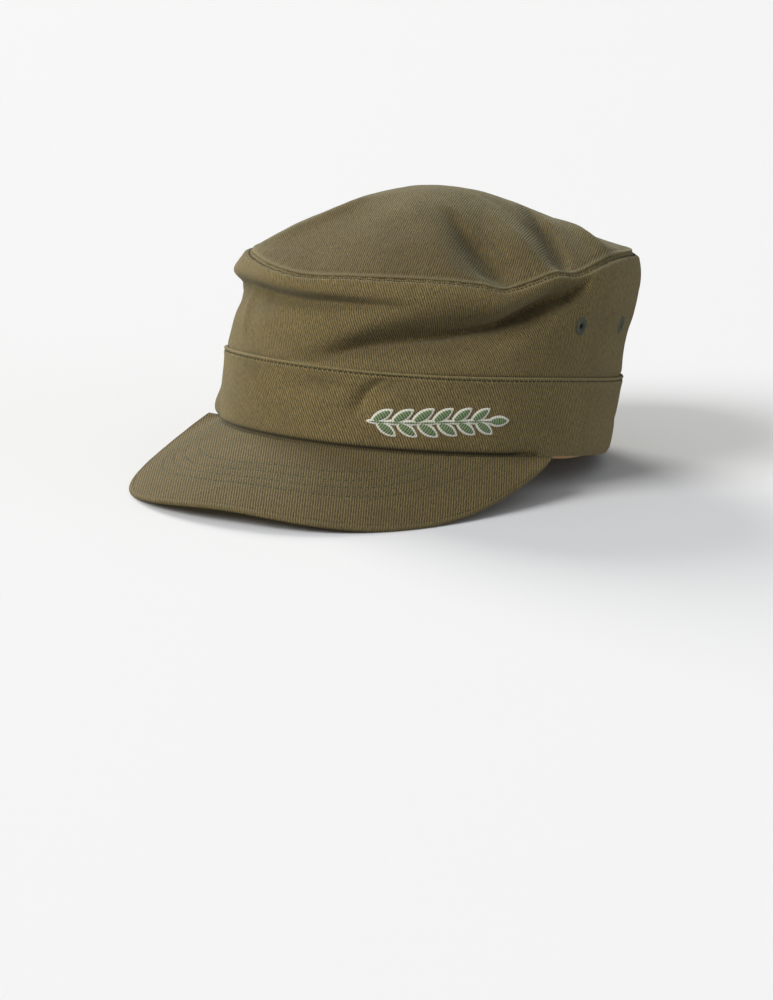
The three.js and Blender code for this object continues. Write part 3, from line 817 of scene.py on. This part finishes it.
def top_point(turn, share):
    """Share 0 is the top seam and 1 the highest point."""
    turn, share = np.broadcast_arrays(np.asarray(turn, float), np.asarray(share, float))
    out = 1 - share
    c = cosine(turn)
    power = mix(TOP["side"], np.where(c > 0, TOP["front"], TOP["back"]), c * c)

    def fall(at):
        return (at * at + TOP["roundness"] ** 2) ** (power / 2) - TOP["roundness"] ** power

    seam = seam_point(turn)
    z = mix(TOP["z"], seam[..., 2], fall(out) / fall(1)) - fold_depth(TOP_FOLDS, turn, out)
    return np.stack([seam[..., 0] * out, mix(TOP["y"], seam[..., 1], out), z], -1)


def top_cloth_point(turn, share):
    point = top_point(turn, share)
    point[..., 2] -= fold_depth(TOP_CREASES, turn, 1 - share)
    return point


print("top of the cap in the scene:", to_scene(top_point(0, 1)).round(4))

# %% The top's relief and thickness
TOP_REACH = 90
TOP_CLOTH = 1.5
TOP_EDGE_CLOTH = 1.05
TOP_EDGE_LINES = [(0.22, 0.2, 0.8), (-0.14, 2.1, 0.9)]
TOP_HILLS = [(0.34, 17, 3), (0.10, 6, 4)]


def top_relief(points, turn, share):
    inwards = share * TOP_REACH
    ripple = puckers(length_at(wrapped(turn)), 1.3, 1.4, 8.3, 0.5, 0.83)
    relief = lines(inwards, TOP_EDGE_LINES)
    relief += 0.13 * ripple * np.exp(-inwards / 4.5) * np.clip(inwards / 1.5, 0, 1)
    relief += hills(points, TOP_HILLS) * np.clip(inwards / 4, 0.15, 1)
    return relief


def top_thickness(share):
    return mix(TOP_EDGE_CLOTH, TOP_CLOTH, np.clip(share / 0.05, 0, 1))


print("top panel at its edge and inside it:", top_thickness(np.array([0, 1])).round(2), "mm")


# %% The top panel's grid
TOP_COLUMNS = 480


def top_rows_table():
    """From the pole out to the seam, round the edge, and back to the pole under the cloth."""
    shares = np.concatenate([np.linspace(0, 0.06, 14)[:-1], np.linspace(0.06, 1, 76)])
    outside = [(share, 0, 0, 1) for share in shares[::-1]]
    turns = [math.pi * k / 6 for k in range(1, 6)]
    edge = [(0, (1 - math.cos(t)) / 2, math.sin(t) / 2, (1 + math.cos(t)) / 2) for t in turns]
    inside = [(share, 1, 0, 0) for share in np.linspace(0, 1, 28)]
    return np.array(outside + edge + inside, float)


top_rows = top_rows_table()


def top_place(i, j):
    share, depth, rise, relief = top_rows[j].T
    turn = closing_turn(i, TOP_COLUMNS)
    pole = share > 0.999
    out, up = surface_ways(top_cloth_point, turn, np.minimum(share, 0.99), 0, 0.6, 0.006)
    out[pole] = (0, 0, 1)
    turn = np.where(pole, 0, turn)
    point = top_cloth_point(turn, share)
    thick = top_thickness(share)
    outwards = top_relief(point, turn, share) * relief - thick * depth
    return moved(point, out, up, outwards, -0.5 * thick * rise)


def top_map(i, j):
    return top_point(map_turn(i, TOP_COLUMNS), top_rows[j][:, 0])[:, :2] * MM


def top_wear_and_painted_light(i, j):
    """Rubbed ridges paler, the rolled edge paler with rubbing and a painted highlight, painted shade in the
    hollows.
    """
    share, depth = top_rows[j][:, :2].T
    hollow = fold_depth(TOP_FOLDS + TOP_CREASES, closing_turn(i, TOP_COLUMNS), 1 - share)
    # The line along the rolled edge is rubbing with a painted highlight on it.
    return (fold_wear_and_painted_shade(hollow, 0.12, 0.08, 5) + line(share * TOP_REACH, 0.1, 1.0)) * (depth < 0.7)


bm = cloth_grid(TOP_COLUMNS, len(top_rows) - 1, top_place, top_map, top_wear_and_painted_light)
finish_piece(bm, "crown_top_cloth", top_cloth, ["crown_top"])

# %% [markdown]
# ## The band
# The band is a folded strip round the head. Its top edge is a firm roll with a stitched groove under it, and
# its foot is folded in over the peak. The rows of the grid lie close together near the top edge, where the
# roll and the groove are only a millimetre wide.

# %% The band's cloth
BAND_CREASES = [
    ("upright", [
        (0.4, 12, 0, 1, 2), (0.52, 12.9, 1.4, 0.95, 2.6), (0.72, 14.9, 1.8, 0.95, 3),
        (0.86, 18, 1.1, 1, 3.2), (0.97, 21, 0, 1, 3),
    ]),
    ("round", [
        (-14, 0.72, 0, 0.05, 0.1), (-3, 0.76, 0.5, 0.06, 0.12), (7, 0.77, 0.5, 0.06, 0.12),
        (14, 0.75, 0, 0.05, 0.1),
    ]),
]
BAND_EDGE_LINES = [(0.1, 0.3, 0.4), (-0.4, 1.25, 0.45), (0.14, 2.4, 0.8)]
BAND_HILLS = [(0.26, 16, 5), (0.09, 6, 6)]


def band_cloth_point(turn, share):
    """The band with its sharp creases. Along the peak its foot sits a little way down in the peak's cover."""
    point = band_point(turn, share) - outward(turn) * fold_depth(BAND_CREASES, turn, share)[..., None]
    on_peak = np.clip((64 - np.abs(wrapped(turn))) / 8, 0, 1)
    point[..., 2] -= 0.9 * on_peak * np.clip(1 - np.asarray(share) * BAND_HEIGHT / 4, 0, 1)
    return point


def band_relief(points, turn, share):
    down, up = (1 - share) * BAND_HEIGHT, share * BAND_HEIGHT
    length = length_at(wrapped(turn))
    ripple = puckers(length, 1.2, 1.5, 10.3, 0.5, 0.67)
    relief = lines(down, BAND_EDGE_LINES) + 0.08 * ripple * np.exp(-np.maximum(down - 1, 0) / 3)
    relief += back_seam(length) - np.exp(-up / 1.1)
    return relief + hills(points, BAND_HILLS) * np.clip(up / 3, 0, 1)


def band_outside(turn, share):
    return outside_of(band_cloth_point, band_relief, turn, share)


print("front of the band's top edge:", band_outside(np.zeros(1), np.ones(1))[0][0].round(1))


# %% The band's grid
BAND_COLUMNS = 480
BAND_CLOTH = 1.55
band_shares = np.concatenate([
    np.linspace(0, 0.06, 6)[:-1], np.linspace(0.06, 0.9, 26)[:-1], np.linspace(0.9, 1, 20),
])
band_rows = section_rows(band_shares, np.linspace(1, 0, 14))


def on_the_floor(points):
    """Cloth that would go below the surface the cap rests on lies on it instead."""
    points[:, 2] = np.maximum(points[:, 2], 0)
    return points


def band_place(i, j):
    share, depth, rise, relief = band_rows[j % len(band_rows)].T
    turn = closing_turn(i, BAND_COLUMNS)
    out, up = surface_ways(band_cloth_point, turn, share)
    point = band_cloth_point(turn, share)
    outwards = band_relief(point, turn, share) * relief - BAND_CLOTH * depth
    return on_the_floor(moved(point, out, up, outwards, BAND_CLOTH * np.where(rise > 0, 0.4 * rise, rise)))


def band_map(i, j):
    share = band_rows[j % len(band_rows)][:, 0]
    return np.stack([length_at(map_turn(i, BAND_COLUMNS)), share * BAND_HEIGHT], -1) * MM


def band_wear_and_painted_light(i, j):
    """Paler along the rolled edge, and a painted shade where the foot meets the peak."""
    share, depth = band_rows[j % len(band_rows)][:, :2].T
    down = (1 - share) * BAND_HEIGHT
    over_peak = np.clip((65 - np.abs(closing_turn(i, BAND_COLUMNS))) / 6, 0, 1)
    # A painted shade along the join of the band's foot with the peak.
    painted_join_shade = over_peak * line(share * BAND_HEIGHT, 0.9, 0.8)
    return lines(down, [(0.55, 0.2, 0.45), (0.08, 3, 1)]) * (depth < 0.6) - painted_join_shade


bm = cloth_grid(BAND_COLUMNS, len(band_rows), band_place, band_map, band_wear_and_painted_light)
finish_piece(bm, "band_cloth", band_cloth, ["band"])

# %% [markdown]
# ## The peak
# The peak is a stiff curved board between two covers of the same twill. Its edge is thin and rounded, with a
# faint seam line a little way in, and four curved rows of stitches hold the covers together. Its corners
# run out to a point under the band, so the board's thickness fades away there.

# %% The surface of the peak
PEAK = dict(
    corner_turn=66.8, half_width=83.3, reach=130.7, squareness=2.46,
    edge_z=-0.4, right_drop=1.2, fall_angle=22.3, arch=24.8, camber=1.5,
)
# The corners run out to a point, so the directions there are measured a little further in.
PEAK_INNER, PEAK_STEP = 0.985, 0.01


def peak_point(across, share):
    """The top face of the peak: across from -1 to 1, share 0 at its free edge and 1 under the band."""
    across, share = np.broadcast_arrays(np.asarray(across, float), np.asarray(share, float))
    root = oval_point(OVALS["foot"], across * PEAK["corner_turn"], -CLOTH)
    root[..., 2] -= GAP
    curve = 2 / PEAK["squareness"]
    x = PEAK["half_width"] * np.sign(across) * np.abs(sine(across * 90)) ** curve
    ahead = PEAK["reach"] * np.abs(cosine(across * 90)) ** curve
    z = PEAK["edge_z"] - PEAK["right_drop"] * np.maximum(-across, 0) ** 4
    fall = math.tan(math.radians(PEAK["fall_angle"])) * ahead
    z = z + PEAK["arch"] * (1 - (x / PEAK["half_width"]) ** 2) - fall
    corner_y = -OVALS["foot"]["front"] * math.cos(math.radians(PEAK["corner_turn"]))
    point = mix(np.stack([x, corner_y - ahead, z], -1), root, share[..., None])
    point[..., 2] += PEAK["camber"] * 4 * share * (1 - share) * ahead / PEAK["reach"]
    return point


def along_peak(across, share):
    """The direction in which a row of the peak runs, from the wearer's right to the left."""
    inner = np.clip(across, -PEAK_INNER, PEAK_INNER)
    return peak_point(inner + PEAK_STEP, share) - peak_point(inner - PEAK_STEP, share)


print("front edge of the peak in the scene:", to_scene(peak_point(0, 0)).round(4))

# %% Stitched rows on the peak
# Columns: across, and the share of the way from the band to the free edge.
PEAK_ROWS = [
    [
        (-0.72, 0.04), (-0.6, 0.30), (-0.45, 0.40), (-0.25, 0.43), (0, 0.41), (0.2, 0.38), (0.35, 0.30),
        (0.45, 0.17), (0.51, 0.03),
    ],
    [
        (-0.76, 0.04), (-0.64, 0.40), (-0.48, 0.51), (-0.28, 0.535), (0, 0.515), (0.2, 0.49), (0.38, 0.40),
        (0.52, 0.22), (0.6, 0.03),
    ],
    [
        (-0.80, 0.04), (-0.68, 0.48), (-0.5, 0.61), (-0.3, 0.62), (0, 0.61), (0.2, 0.58), (0.4, 0.50),
        (0.57, 0.30), (0.7, 0.03),
    ],
    [
        (-0.84, 0.04), (-0.72, 0.56), (-0.55, 0.70), (-0.3, 0.70), (0, 0.70), (0.2, 0.68), (0.4, 0.63),
        (0.6, 0.47), (0.7, 0.33), (0.8, 0.06),
    ],
]
print("stitched rows on the peak:", len(PEAK_ROWS))

# %% The peak's relief and thickness
PEAK_LENGTH = 62
PEAK_BOARD, PEAK_EDGE = 2.6, 1.7
PEAK_EDGE_LINES = [(0.08, 0.8, 0.7), (-0.26, 2.1, 0.5)]
PEAK_HILLS = [(0.10, 14, 7), (0.05, 5, 8)]
PEAK_CORNER = 0.05


def peak_thickness(across, share):
    board = mix(PEAK_EDGE, PEAK_BOARD, np.clip(share / 0.03, 0, 1))
    end = np.clip((1 - np.abs(across)) / PEAK_CORNER, 0, 1)
    return board * np.sqrt(np.clip(1 - (1 - end) ** 2, 0.0004, 1))


def peak_relief(points, across, share):
    """A line along the edge, a dip under the band, a groove under each row of stitches, and soft hills."""
    relief = lines(share * PEAK_LENGTH, PEAK_EDGE_LINES) - 0.8 * line((1 - share) * PEAK_LENGTH, 0, 1.8)
    for row in PEAK_ROWS:
        beside = share - (1 - smooth(row, 1, across))
        inside = (across > row[0][0]) & (across < row[-1][0])
        relief -= 0.2 * line(beside * PEAK_LENGTH, 0, 0.7) * inside
    relief += hills(points, PEAK_HILLS)
    return relief * np.clip((1 - np.abs(across)) / PEAK_CORNER, 0, 1)


print("peak at its edge and inside it:", peak_thickness(0, np.array([0, 1])).round(2), "mm")


# %% The peak's grid
PEAK_COLUMNS = 200
PEAK_SLOPE = 1.06
peak_shares = np.concatenate([np.linspace(0, 0.06, 10)[:-1], np.linspace(0.06, 1, 56)])
peak_rows = section_rows(peak_shares, np.linspace(1, 0, 24), 6)


def peak_across(i):
    """The columns lie closer together towards the corners."""
    t = 2 * np.asarray(i, float) / PEAK_COLUMNS - 1
    return mix(t, np.sin(t * np.pi / 2), 0.45)


def peak_place(i, j):
    """The rim rolls over square to the edge, also at the sides, where the columns meet it at a slant."""
    share, depth, rise, relief = peak_rows[j % len(peak_rows)].T
    across = peak_across(i)
    inner = np.clip(across, -PEAK_INNER, PEAK_INNER)
    out, _ = surface_ways(peak_point, inner, share, 0, PEAK_STEP, PEAK_STEP)
    up = np.cross(out, along_peak(across, share))
    up /= np.linalg.norm(up, axis=-1, keepdims=True)
    point = peak_point(across, share)
    thick = peak_thickness(across, share)
    outwards = peak_relief(point, across, share) * relief - thick * depth
    return on_the_floor(moved(point, out, up, outwards, thick * np.where(rise < 0, rise, rise * 0.3)))


def peak_map(i, j):
    """Seen from straight above, and carried on round the rim, so that the ribs don't stretch there."""
    share, depth = peak_rows[j % len(peak_rows)][:, :2].T
    across = peak_across(i)
    along = along_peak(across, np.zeros(len(share)))
    over = np.stack([along[:, 1], -along[:, 0]], -1) / np.linalg.norm(along[:, :2], axis=-1, keepdims=True)
    rolled = peak_thickness(across, 0) / 2 * np.arccos(1 - 2 * depth)
    flat = peak_point(across, share)[:, :2] + over * rolled[:, None]
    return flat * (1, PEAK_SLOPE) * MM


def peak_wear_and_painted_light(i, j):
    """A painted highlight along the rim, and a painted shade where the band meets the cover."""
    share, depth = peak_rows[j % len(peak_rows)][:, :2].T
    # A painted highlight along the rounded rim.
    rim = lines(share * PEAK_LENGTH, [(0.24, 0.4, 0.9), (0.08, 3.4, 1.0)])
    # Less a painted shade under the band's foot.
    return rim * (depth < 0.9) - 0.9 * line((1 - share) * PEAK_LENGTH, 0.8, 1.1)


bm = cloth_grid(PEAK_COLUMNS, len(peak_rows), peak_place, peak_map, peak_wear_and_painted_light)
bmesh.ops.remove_doubles(bm, verts=bm.verts, dist=TOUCHING)
bmesh.ops.holes_fill(bm, edges=[e for e in bm.edges if e.is_boundary], sides=0)
finish_piece(bm, "peak_covers", peak_cloth, ["peak"])

# %% [markdown]
# ## The sweatband
# Inside the band runs a tan cotton tape that sits against the head. Only a thin line of it shows beside the
# peak, where it drops below the band, but it is seen from below.

# %% The sweatband's grid
SWEATBAND_COLUMNS = 300
SWEATBAND_CLOTH = 1.1
SWEATBAND_HEIGHT = 25
SWEATBAND_TOP = 0.75
sweatband_rows = section_rows(np.linspace(0, 1, 14), np.linspace(1, 0, 8), 3)


def sweatband_point(turn, share):
    """The outside of the tape inside the band; it drops below the band beside the peak."""
    turn, share = np.broadcast_arrays(np.asarray(turn, float), np.asarray(share, float))
    drop = 2.2 * line(np.abs(wrapped(turn)), 78, 14) - 0.8
    level = mix(-drop / BAND_HEIGHT, SWEATBAND_TOP, share)
    flare = np.minimum(fold_depth(BAND_FOLDS, turn, level), 0)
    return band_point(turn, level, flare - CLOTH - GAP)


def sweatband_place(i, j):
    share, depth, rise, _ = sweatband_rows[j % len(sweatband_rows)].T
    turn = closing_turn(i, SWEATBAND_COLUMNS)
    out, up = surface_ways(sweatband_point, turn, share)
    point = sweatband_point(turn, share)
    outwards = 0.1 * uneven(point, 9, 9) * depth - SWEATBAND_CLOTH * depth
    return on_the_floor(moved(point, out, up, outwards, SWEATBAND_CLOTH * rise))


def sweatband_map(i, j):
    share = sweatband_rows[j % len(sweatband_rows)][:, 0]
    return np.stack([length_at(map_turn(i, SWEATBAND_COLUMNS)), share * SWEATBAND_HEIGHT], -1) * MM


bm = cloth_grid(SWEATBAND_COLUMNS, len(sweatband_rows), sweatband_place, sweatband_map)
finish_piece(bm, "sweatband_tape", tan_tape, ["sweatband"])

# %% [markdown]
# ## Stitches
# A machine stitch shows as a short thread that dips into the cloth at both ends. Each is a small stretched
# ball laid along its row. Hundreds of them are made in one mesh for each row, with few faces each.

# %% A row of stitches
STITCH_HEIGHT = 0.6
STITCH_REACH = 0.8
WOBBLE = 0.03


def on_row(values, run, at):
    """A place or a direction after a number of millimetres along a row."""
    return Vector([np.interp(at, run, values[:, axis]) for axis in range(3)])


def stitch_row(bm, centres, normals, pitch, slant, length=1.6, width=0.7):
    """Lays stitches along a line of places, given in millimetres with the outward direction at each."""
    uv_layer = bm.loops.layers.uv.verify()
    steps = np.linalg.norm(np.diff(centres, axis=0), axis=1)
    run = np.concatenate([[0], np.cumsum(steps)])
    count = int(run[-1] / pitch)
    for k in range(count):
        at = (k + 0.5) * run[-1] / count
        before, after = on_row(centres, run, at - STITCH_REACH), on_row(centres, run, at + STITCH_REACH)
        along = (after - before).normalized()
        side = on_row(normals, run, at).normalized().cross(along).normalized()
        out = along.cross(side)
        wobble = slant + math.sin(k * 2.4) * WOBBLE + math.sin(k * 0.7) * WOBBLE
        along = Matrix.Rotation(wobble, 3, out) @ along
        side = out.cross(along)
        turned = Matrix((along * length / 2, side * width / 2, out * STITCH_HEIGHT / 2)).transposed().to_4x4()
        turned.translation = on_row(centres, run, at)
        made = bmesh.ops.create_uvsphere(bm, u_segments=6, v_segments=5, radius=1)
        bmesh.ops.rotate(bm, verts=made["verts"], matrix=Matrix.Rotation(math.pi / 2, 3, "Y"))
        for vert in made["verts"]:
            for loop in vert.link_loops:
                loop[uv_layer].uv = (vert.co.x * length / 2 * MM, math.atan2(vert.co.y, vert.co.z) * 0.0002)
            vert.co = turned @ vert.co
    return count


def stitches_piece(name, rows, thread=seam_thread, **settings):
    """Makes one piece from several rows, each given as places and outward directions of the upright cap."""
    bm = bmesh.new()
    bm.loops.layers.uv.new("cloth")
    count = sum(stitch_row(bm, places, normals, **settings) for places, normals in rows)
    for vert in bm.verts:
        vert.co = Vector(to_scene(vert.co))
    print(name, "stitches", count)
    return finish_piece(bm, name, thread, close=False)


# %% Round the top seam and the band's edge
ROUND_PLACES = 1441
TOP_STITCHES_DOWN, BAND_STITCHES_DOWN = 1.0, 1.25
whole_round = np.linspace(-180, 180, ROUND_PLACES)
seam_share = np.full(ROUND_PLACES, 1 - TOP_STITCHES_DOWN / WALL_LENGTH)
edge_share = np.full(ROUND_PLACES, 1 - BAND_STITCHES_DOWN / BAND_HEIGHT)
seam_row = wall_outside(whole_round, seam_share)[:2]
edge_row = band_outside(whole_round, edge_share)[:2]
stitches_piece("top_seam_stitches", [seam_row], pitch=2.1, slant=0.5, length=1.7, width=0.85)
stitches_piece("band_edge_stitches", [edge_row], pitch=2.3, slant=0.45, length=1.7, width=0.8)

# %% Beside the seam at the middle of the back
BESIDE_BACK_SEAM = 1.9
back_lines = []
for side in (-1, 1):
    back_turn = float(turn_at(length_at(180 * side) - BESIDE_BACK_SEAM * side))
    for outside, lowest, highest in ((wall_outside, 0.03, 0.93), (band_outside, 0.06, 0.90)):
        share = np.linspace(lowest, highest, 120)
        back_lines.append(outside(np.full(120, back_turn), share)[:2])
stitches_piece("back_seam_stitches", back_lines, pitch=2.4, slant=0.0)

# %% On the peak
peak_lines = []
for row in PEAK_ROWS:
    across = np.linspace(row[0][0], row[-1][0], 400)
    share = 1 - smooth(row, 1, across)
    out, _ = surface_ways(peak_point, across, share, 0, PEAK_STEP, PEAK_STEP)
    point = peak_point(across, share)
    peak_lines.append((point + out * peak_relief(point, across, share)[:, None], out))
stitches_piece("peak_stitches", peak_lines, peak_thread, pitch=2.9, slant=0.0, length=2.2, width=0.8)

# %% [markdown]
# ## Eyelets
# Four round air holes, two on each side, are worked over with thread. Each is a low ring whose section is
# bent round a small hole, and its ridges are the threads that run out from the hole.

# %% Eyelet rings
# Columns: name, turn, and height in millimetres.
EYELETS = [
    ("left_front", 77, 55), ("right_front", -77, 55),
    ("left_back", 100.5, 56), ("right_back", -100.5, 56),
]
EYELET_OUTER, EYELET_CUT = 4.2, 1.55
EYELET_SEGMENTS, EYELET_THREADS = 132, 33
# Columns: distance from the middle as a share of the outer one, and height in millimetres.
EYELET_SECTION = np.array([
    (0.94, 0.0), (0.88, 0.2), (0.74, 0.4), (0.58, 0.42), (0.44, 0.24), (0.33, -0.15), (0.29, -0.8),
    (0.31, -1.5), (0.42, -1.74), (0.60, -1.78), (0.72, -1.62), (0.58, -1.46), (0.46, -1.2), (0.46, -0.4),
    (0.62, -0.14), (0.84, -0.12),
])


def eyelet_seat(turn, z):
    """The place of an eyelet on the wall, and its outward and upward directions."""
    shares = np.linspace(0, 1, 201)
    share = shares[np.argmax(wall_point(np.full(201, float(turn)), shares)[:, 2] >= z)]
    point, out, up = wall_outside(np.array([float(turn)]), np.array([share]))
    return point[0], out[0], up[0]


def eyelet_ring(name, turn, z):
    point, out, up = eyelet_seat(turn, z)
    side = np.cross(up, out)

    def place(i, j):
        radius, height = EYELET_SECTION[j % len(EYELET_SECTION)].T
        angle = 2 * np.pi * (i % EYELET_SEGMENTS) / EYELET_SEGMENTS
        thread = 0.11 * np.cos(angle * EYELET_THREADS) * (height > 0)
        r = radius * EYELET_OUTER * (1 + 0.012 * np.sin(3 * angle + turn))
        flat_x, flat_y = r * np.cos(angle), r * np.sin(angle)
        here = point + np.outer(flat_x, side) + np.outer(flat_y, up) + np.outer(height + thread, out)
        return to_scene(here)

    def flat(i, j):
        radius = EYELET_SECTION[j % len(EYELET_SECTION)][:, 0]
        return np.stack([2 * np.pi * i / EYELET_SEGMENTS * 0.002, radius * 0.004], -1)

    bm = cloth_grid(EYELET_SEGMENTS, len(EYELET_SECTION), place, flat)
    return finish_piece(bm, f"eyelet_{name}_thread", eyelet_thread, [f"eyelet_{name}"])


for eyelet_name, eyelet_turn, eyelet_z in EYELETS:
    eyelet_ring(eyelet_name, eyelet_turn, eyelet_z)


# %% The holes through the wall
def punch_holes(piece):
    """Cuts a round hole under each eyelet; the cutter is taken away again."""
    bm = bmesh.new()
    for _, turn, z in EYELETS:
        point, out, up = eyelet_seat(turn, z)
        turned = Matrix([Vector(lean(axis)) for axis in (np.cross(up, out), up, out)]).transposed().to_4x4()
        turned.translation = Vector(to_scene(point))
        cut = EYELET_CUT * MM
        bmesh.ops.create_cone(
            bm, cap_ends=True, segments=24, radius1=cut, radius2=cut, depth=7 * MM, matrix=turned
        )
    mesh = bpy.data.meshes.new("eyelet_punch")
    bm.to_mesh(mesh)
    bm.free()
    punch = bpy.data.objects.new("eyelet_punch", mesh)
    bpy.context.scene.collection.objects.link(punch)
    modifier = piece.modifiers.new("holes", "BOOLEAN")
    modifier.operation = "DIFFERENCE"
    modifier.object = punch
    holed = bpy.data.meshes.new_from_object(piece.evaluated_get(bpy.context.evaluated_depsgraph_get()))
    piece.modifiers.clear()
    piece.data = holed
    bpy.data.objects.remove(punch)
    print("wall faces after the holes:", len(holed.polygons))


punch_holes(crown_wall)

# %% [markdown]
# ## An embroidered sprig
# A small sprig of leaves is embroidered on the band, in green satin stitch with a pale edging. Each leaf is
# a ball that is flattened, drawn out to a point and laid on the band. Its map is folded along the middle of
# the leaf, so the threads slant to both sides as they do in real satin stitch.

# %% Leaves on the band
SPRIG_TURN, SPRIG_HEIGHT = 34.5, 13.0


def on_band(along, up, lift):
    """Places on the outside of the band from millimetres along it, up it and out from it."""
    turn = turn_at(length_at(SPRIG_TURN) + np.asarray(along, float))
    share = (SPRIG_HEIGHT + np.asarray(up, float)) / BAND_HEIGHT
    point, out, _ = band_outside(turn, share)
    return to_scene(point + out * np.asarray(lift, float)[..., None])


def add_leaf(bm, start, angle, length, half_width, height, border=0.0):
    """A leaf that starts at a place on the stem; border makes it larger all round."""
    uv_layer = bm.loops.layers.uv.verify()
    made = bmesh.ops.create_uvsphere(bm, u_segments=28, v_segments=14, radius=1)["verts"]
    bmesh.ops.rotate(bm, verts=made, matrix=Matrix.Rotation(math.pi / 2, 3, "Y"))
    x, y, z = np.array([v.co for v in made]).T
    taper = 1 - 0.42 * np.clip(x, 0, 1) ** 2 - 0.16 * np.clip(-x, 0, 1) ** 2
    flat_x = x * (length / 2 + border)
    flat_y = y * (half_width + border) * taper
    lift = np.where(z > 0, z * height + 0.06, 0.03)
    crease = 0.16 * height * line(flat_y, 0, 0.35) * (border == 0)
    middle = length / 2
    c, s = math.cos(angle), math.sin(angle)
    along = start[0] + (flat_x + middle) * c - flat_y * s
    up = start[1] + (flat_x + middle) * s + flat_y * c
    placed = on_band(along, up, lift - crease)
    for vert, point, u, v in zip(made, placed, flat_x, flat_y):
        for loop in vert.link_loops:
            loop[uv_layer].uv = ((u + abs(v) * 0.9) * MM, abs(v) * MM)
        vert.co = point


print("middle of the sprig in the scene:", on_band([0], [0], [0])[0].round(3))


# %% The sprig's stem and leaves
STEM_SWAY, STEM_BEND = 1.3, 17
STEM_START, STEM_STEP, STEM_PARTS = -28.5, 7, 8
STEM_LENGTH, STEM_HALF_WIDTH = 8.6, 0.42
LEAF_START, LEAF_STEP, LEAF_PAIRS = -26.5, 8.6, 6
LEAF_LENGTH, LEAF_HALF_WIDTH = 9.6, 1.75
LEAF_SPREAD = math.radians(33)
TIP_START = 24.6


def stem_place(along):
    return along, STEM_SWAY * math.sin(along / STEM_BEND)


stems = []
for k in range(STEM_PARTS):
    along = STEM_START + STEM_STEP * k
    angle = 0.07 * math.cos((along + STEM_STEP / 2) / STEM_BEND)
    stems.append((stem_place(along), angle, STEM_LENGTH, STEM_HALF_WIDTH))

leaves = []
for k in range(LEAF_PAIRS):
    along, up = stem_place(LEAF_START + LEAF_STEP * k)
    tilt = math.atan(STEM_SWAY / STEM_BEND * math.cos(along / STEM_BEND))
    size = 1 - 0.035 * abs(k - 2)
    for side, ahead in ((1, 0), (-1, 2.2)):
        start = (along + ahead, up + 0.35 * side)
        leaves.append((start, tilt + LEAF_SPREAD * side, LEAF_LENGTH * size, LEAF_HALF_WIDTH * size))
leaves.append((stem_place(TIP_START), 0.05, 9.0, 1.6))
print("stem parts and leaves:", len(stems), len(leaves))


# %% The edging and the leaves as pieces
def sprig_piece(name, material, border, height):
    bm = bmesh.new()
    bm.loops.layers.uv.new("cloth")
    for start, angle, length, half_width in stems + leaves:
        add_leaf(bm, start, angle, length, half_width, height, border)
    return finish_piece(bm, name, material, close=False)


sprig_piece("sprig_edging", edging_thread, 0.9, 0.36)
sprig_piece("sprig_leaves", leaf_thread, 0.0, 0.75)

# %% [markdown]
# ## Floor and light
# The cap stands on a wide pale floor in soft studio light: an even surrounding that is dimmer below, a broad
# key light from the upper left of the view, a weak fill from low on the right, and a rim light from high up
# behind on the left. Suns light the whole floor evenly. The floor throws no light back up, so the folds keep
# their shade, and it casts no shadow, so the low fill reaches the cap.

# %% The floor
FLOOR_RADIUS = 9
FLOOR_BELOW = 0.0002
bm = bmesh.new()
bmesh.ops.create_circle(bm, cap_ends=True, segments=96, radius=FLOOR_RADIUS)
floor_mesh = bpy.data.meshes.new("floor")
bm.to_mesh(floor_mesh)
bm.free()
floor = bpy.data.objects.new("floor", floor_mesh)
floor.location.z = -FLOOR_BELOW
floor.visible_diffuse = False
floor.visible_shadow = False
bpy.context.scene.collection.objects.link(floor)
floor_paint, floor_shader = new_material("floor_paint", 0.9)
floor_shader.inputs["Base Color"].default_value = rgba(0.767, 0.765, 0.77)
floor_mesh.materials.append(floor_paint)
print("floor:", 2 * FLOOR_RADIUS, "m across")

# %% The surrounding
world = bpy.data.worlds.new("studio")
bpy.context.scene.world = world
world.use_nodes = True
background = world.node_tree.nodes["Background"]
background.inputs["Color"].default_value = rgba(0.95, 0.98, 1.02)
w = Nodes(world)
way = w.add("ShaderNodeTexCoord").outputs["Generated"]
height = w.add("ShaderNodeSeparateXYZ", Vector=way).outputs["Z"]
w.fill(background.inputs["Strength"], w.ramp(height, -0.25, 0.3, 0.17, 0.34))
bpy.context.scene.view_settings.view_transform = "Standard"
print("view transform:", bpy.context.scene.view_settings.view_transform)


# %% Lights
def sun_light(name, right, up, back, strength, softness, colour=(1, 1, 1)):
    """A sun with a broad soft disc, in a direction given along the camera's own axes."""
    toward = Vector(lean(right * VIEW_RIGHT + up * VIEW_UP + back * VIEW_BACK))
    data = bpy.data.lights.new(name, "SUN")
    data.energy = strength
    data.color = colour
    data.angle = math.radians(softness)
    light = bpy.data.objects.new(name, data)
    light.rotation_euler = toward.to_track_quat("Z", "Y").to_euler()
    bpy.context.scene.collection.objects.link(light)
    print(name, "comes from", [round(v, 2) for v in toward.normalized()])


sun_light("key", -0.64, 0.42, 0.56, 2.9, 34)
sun_light("fill", 0.9, -0.35, 0.42, 0.95, 60, (0.95, 1, 1.06))
sun_light("rim", -0.42, 0.58, -0.68, 2.6, 28, (1, 0.99, 0.92))
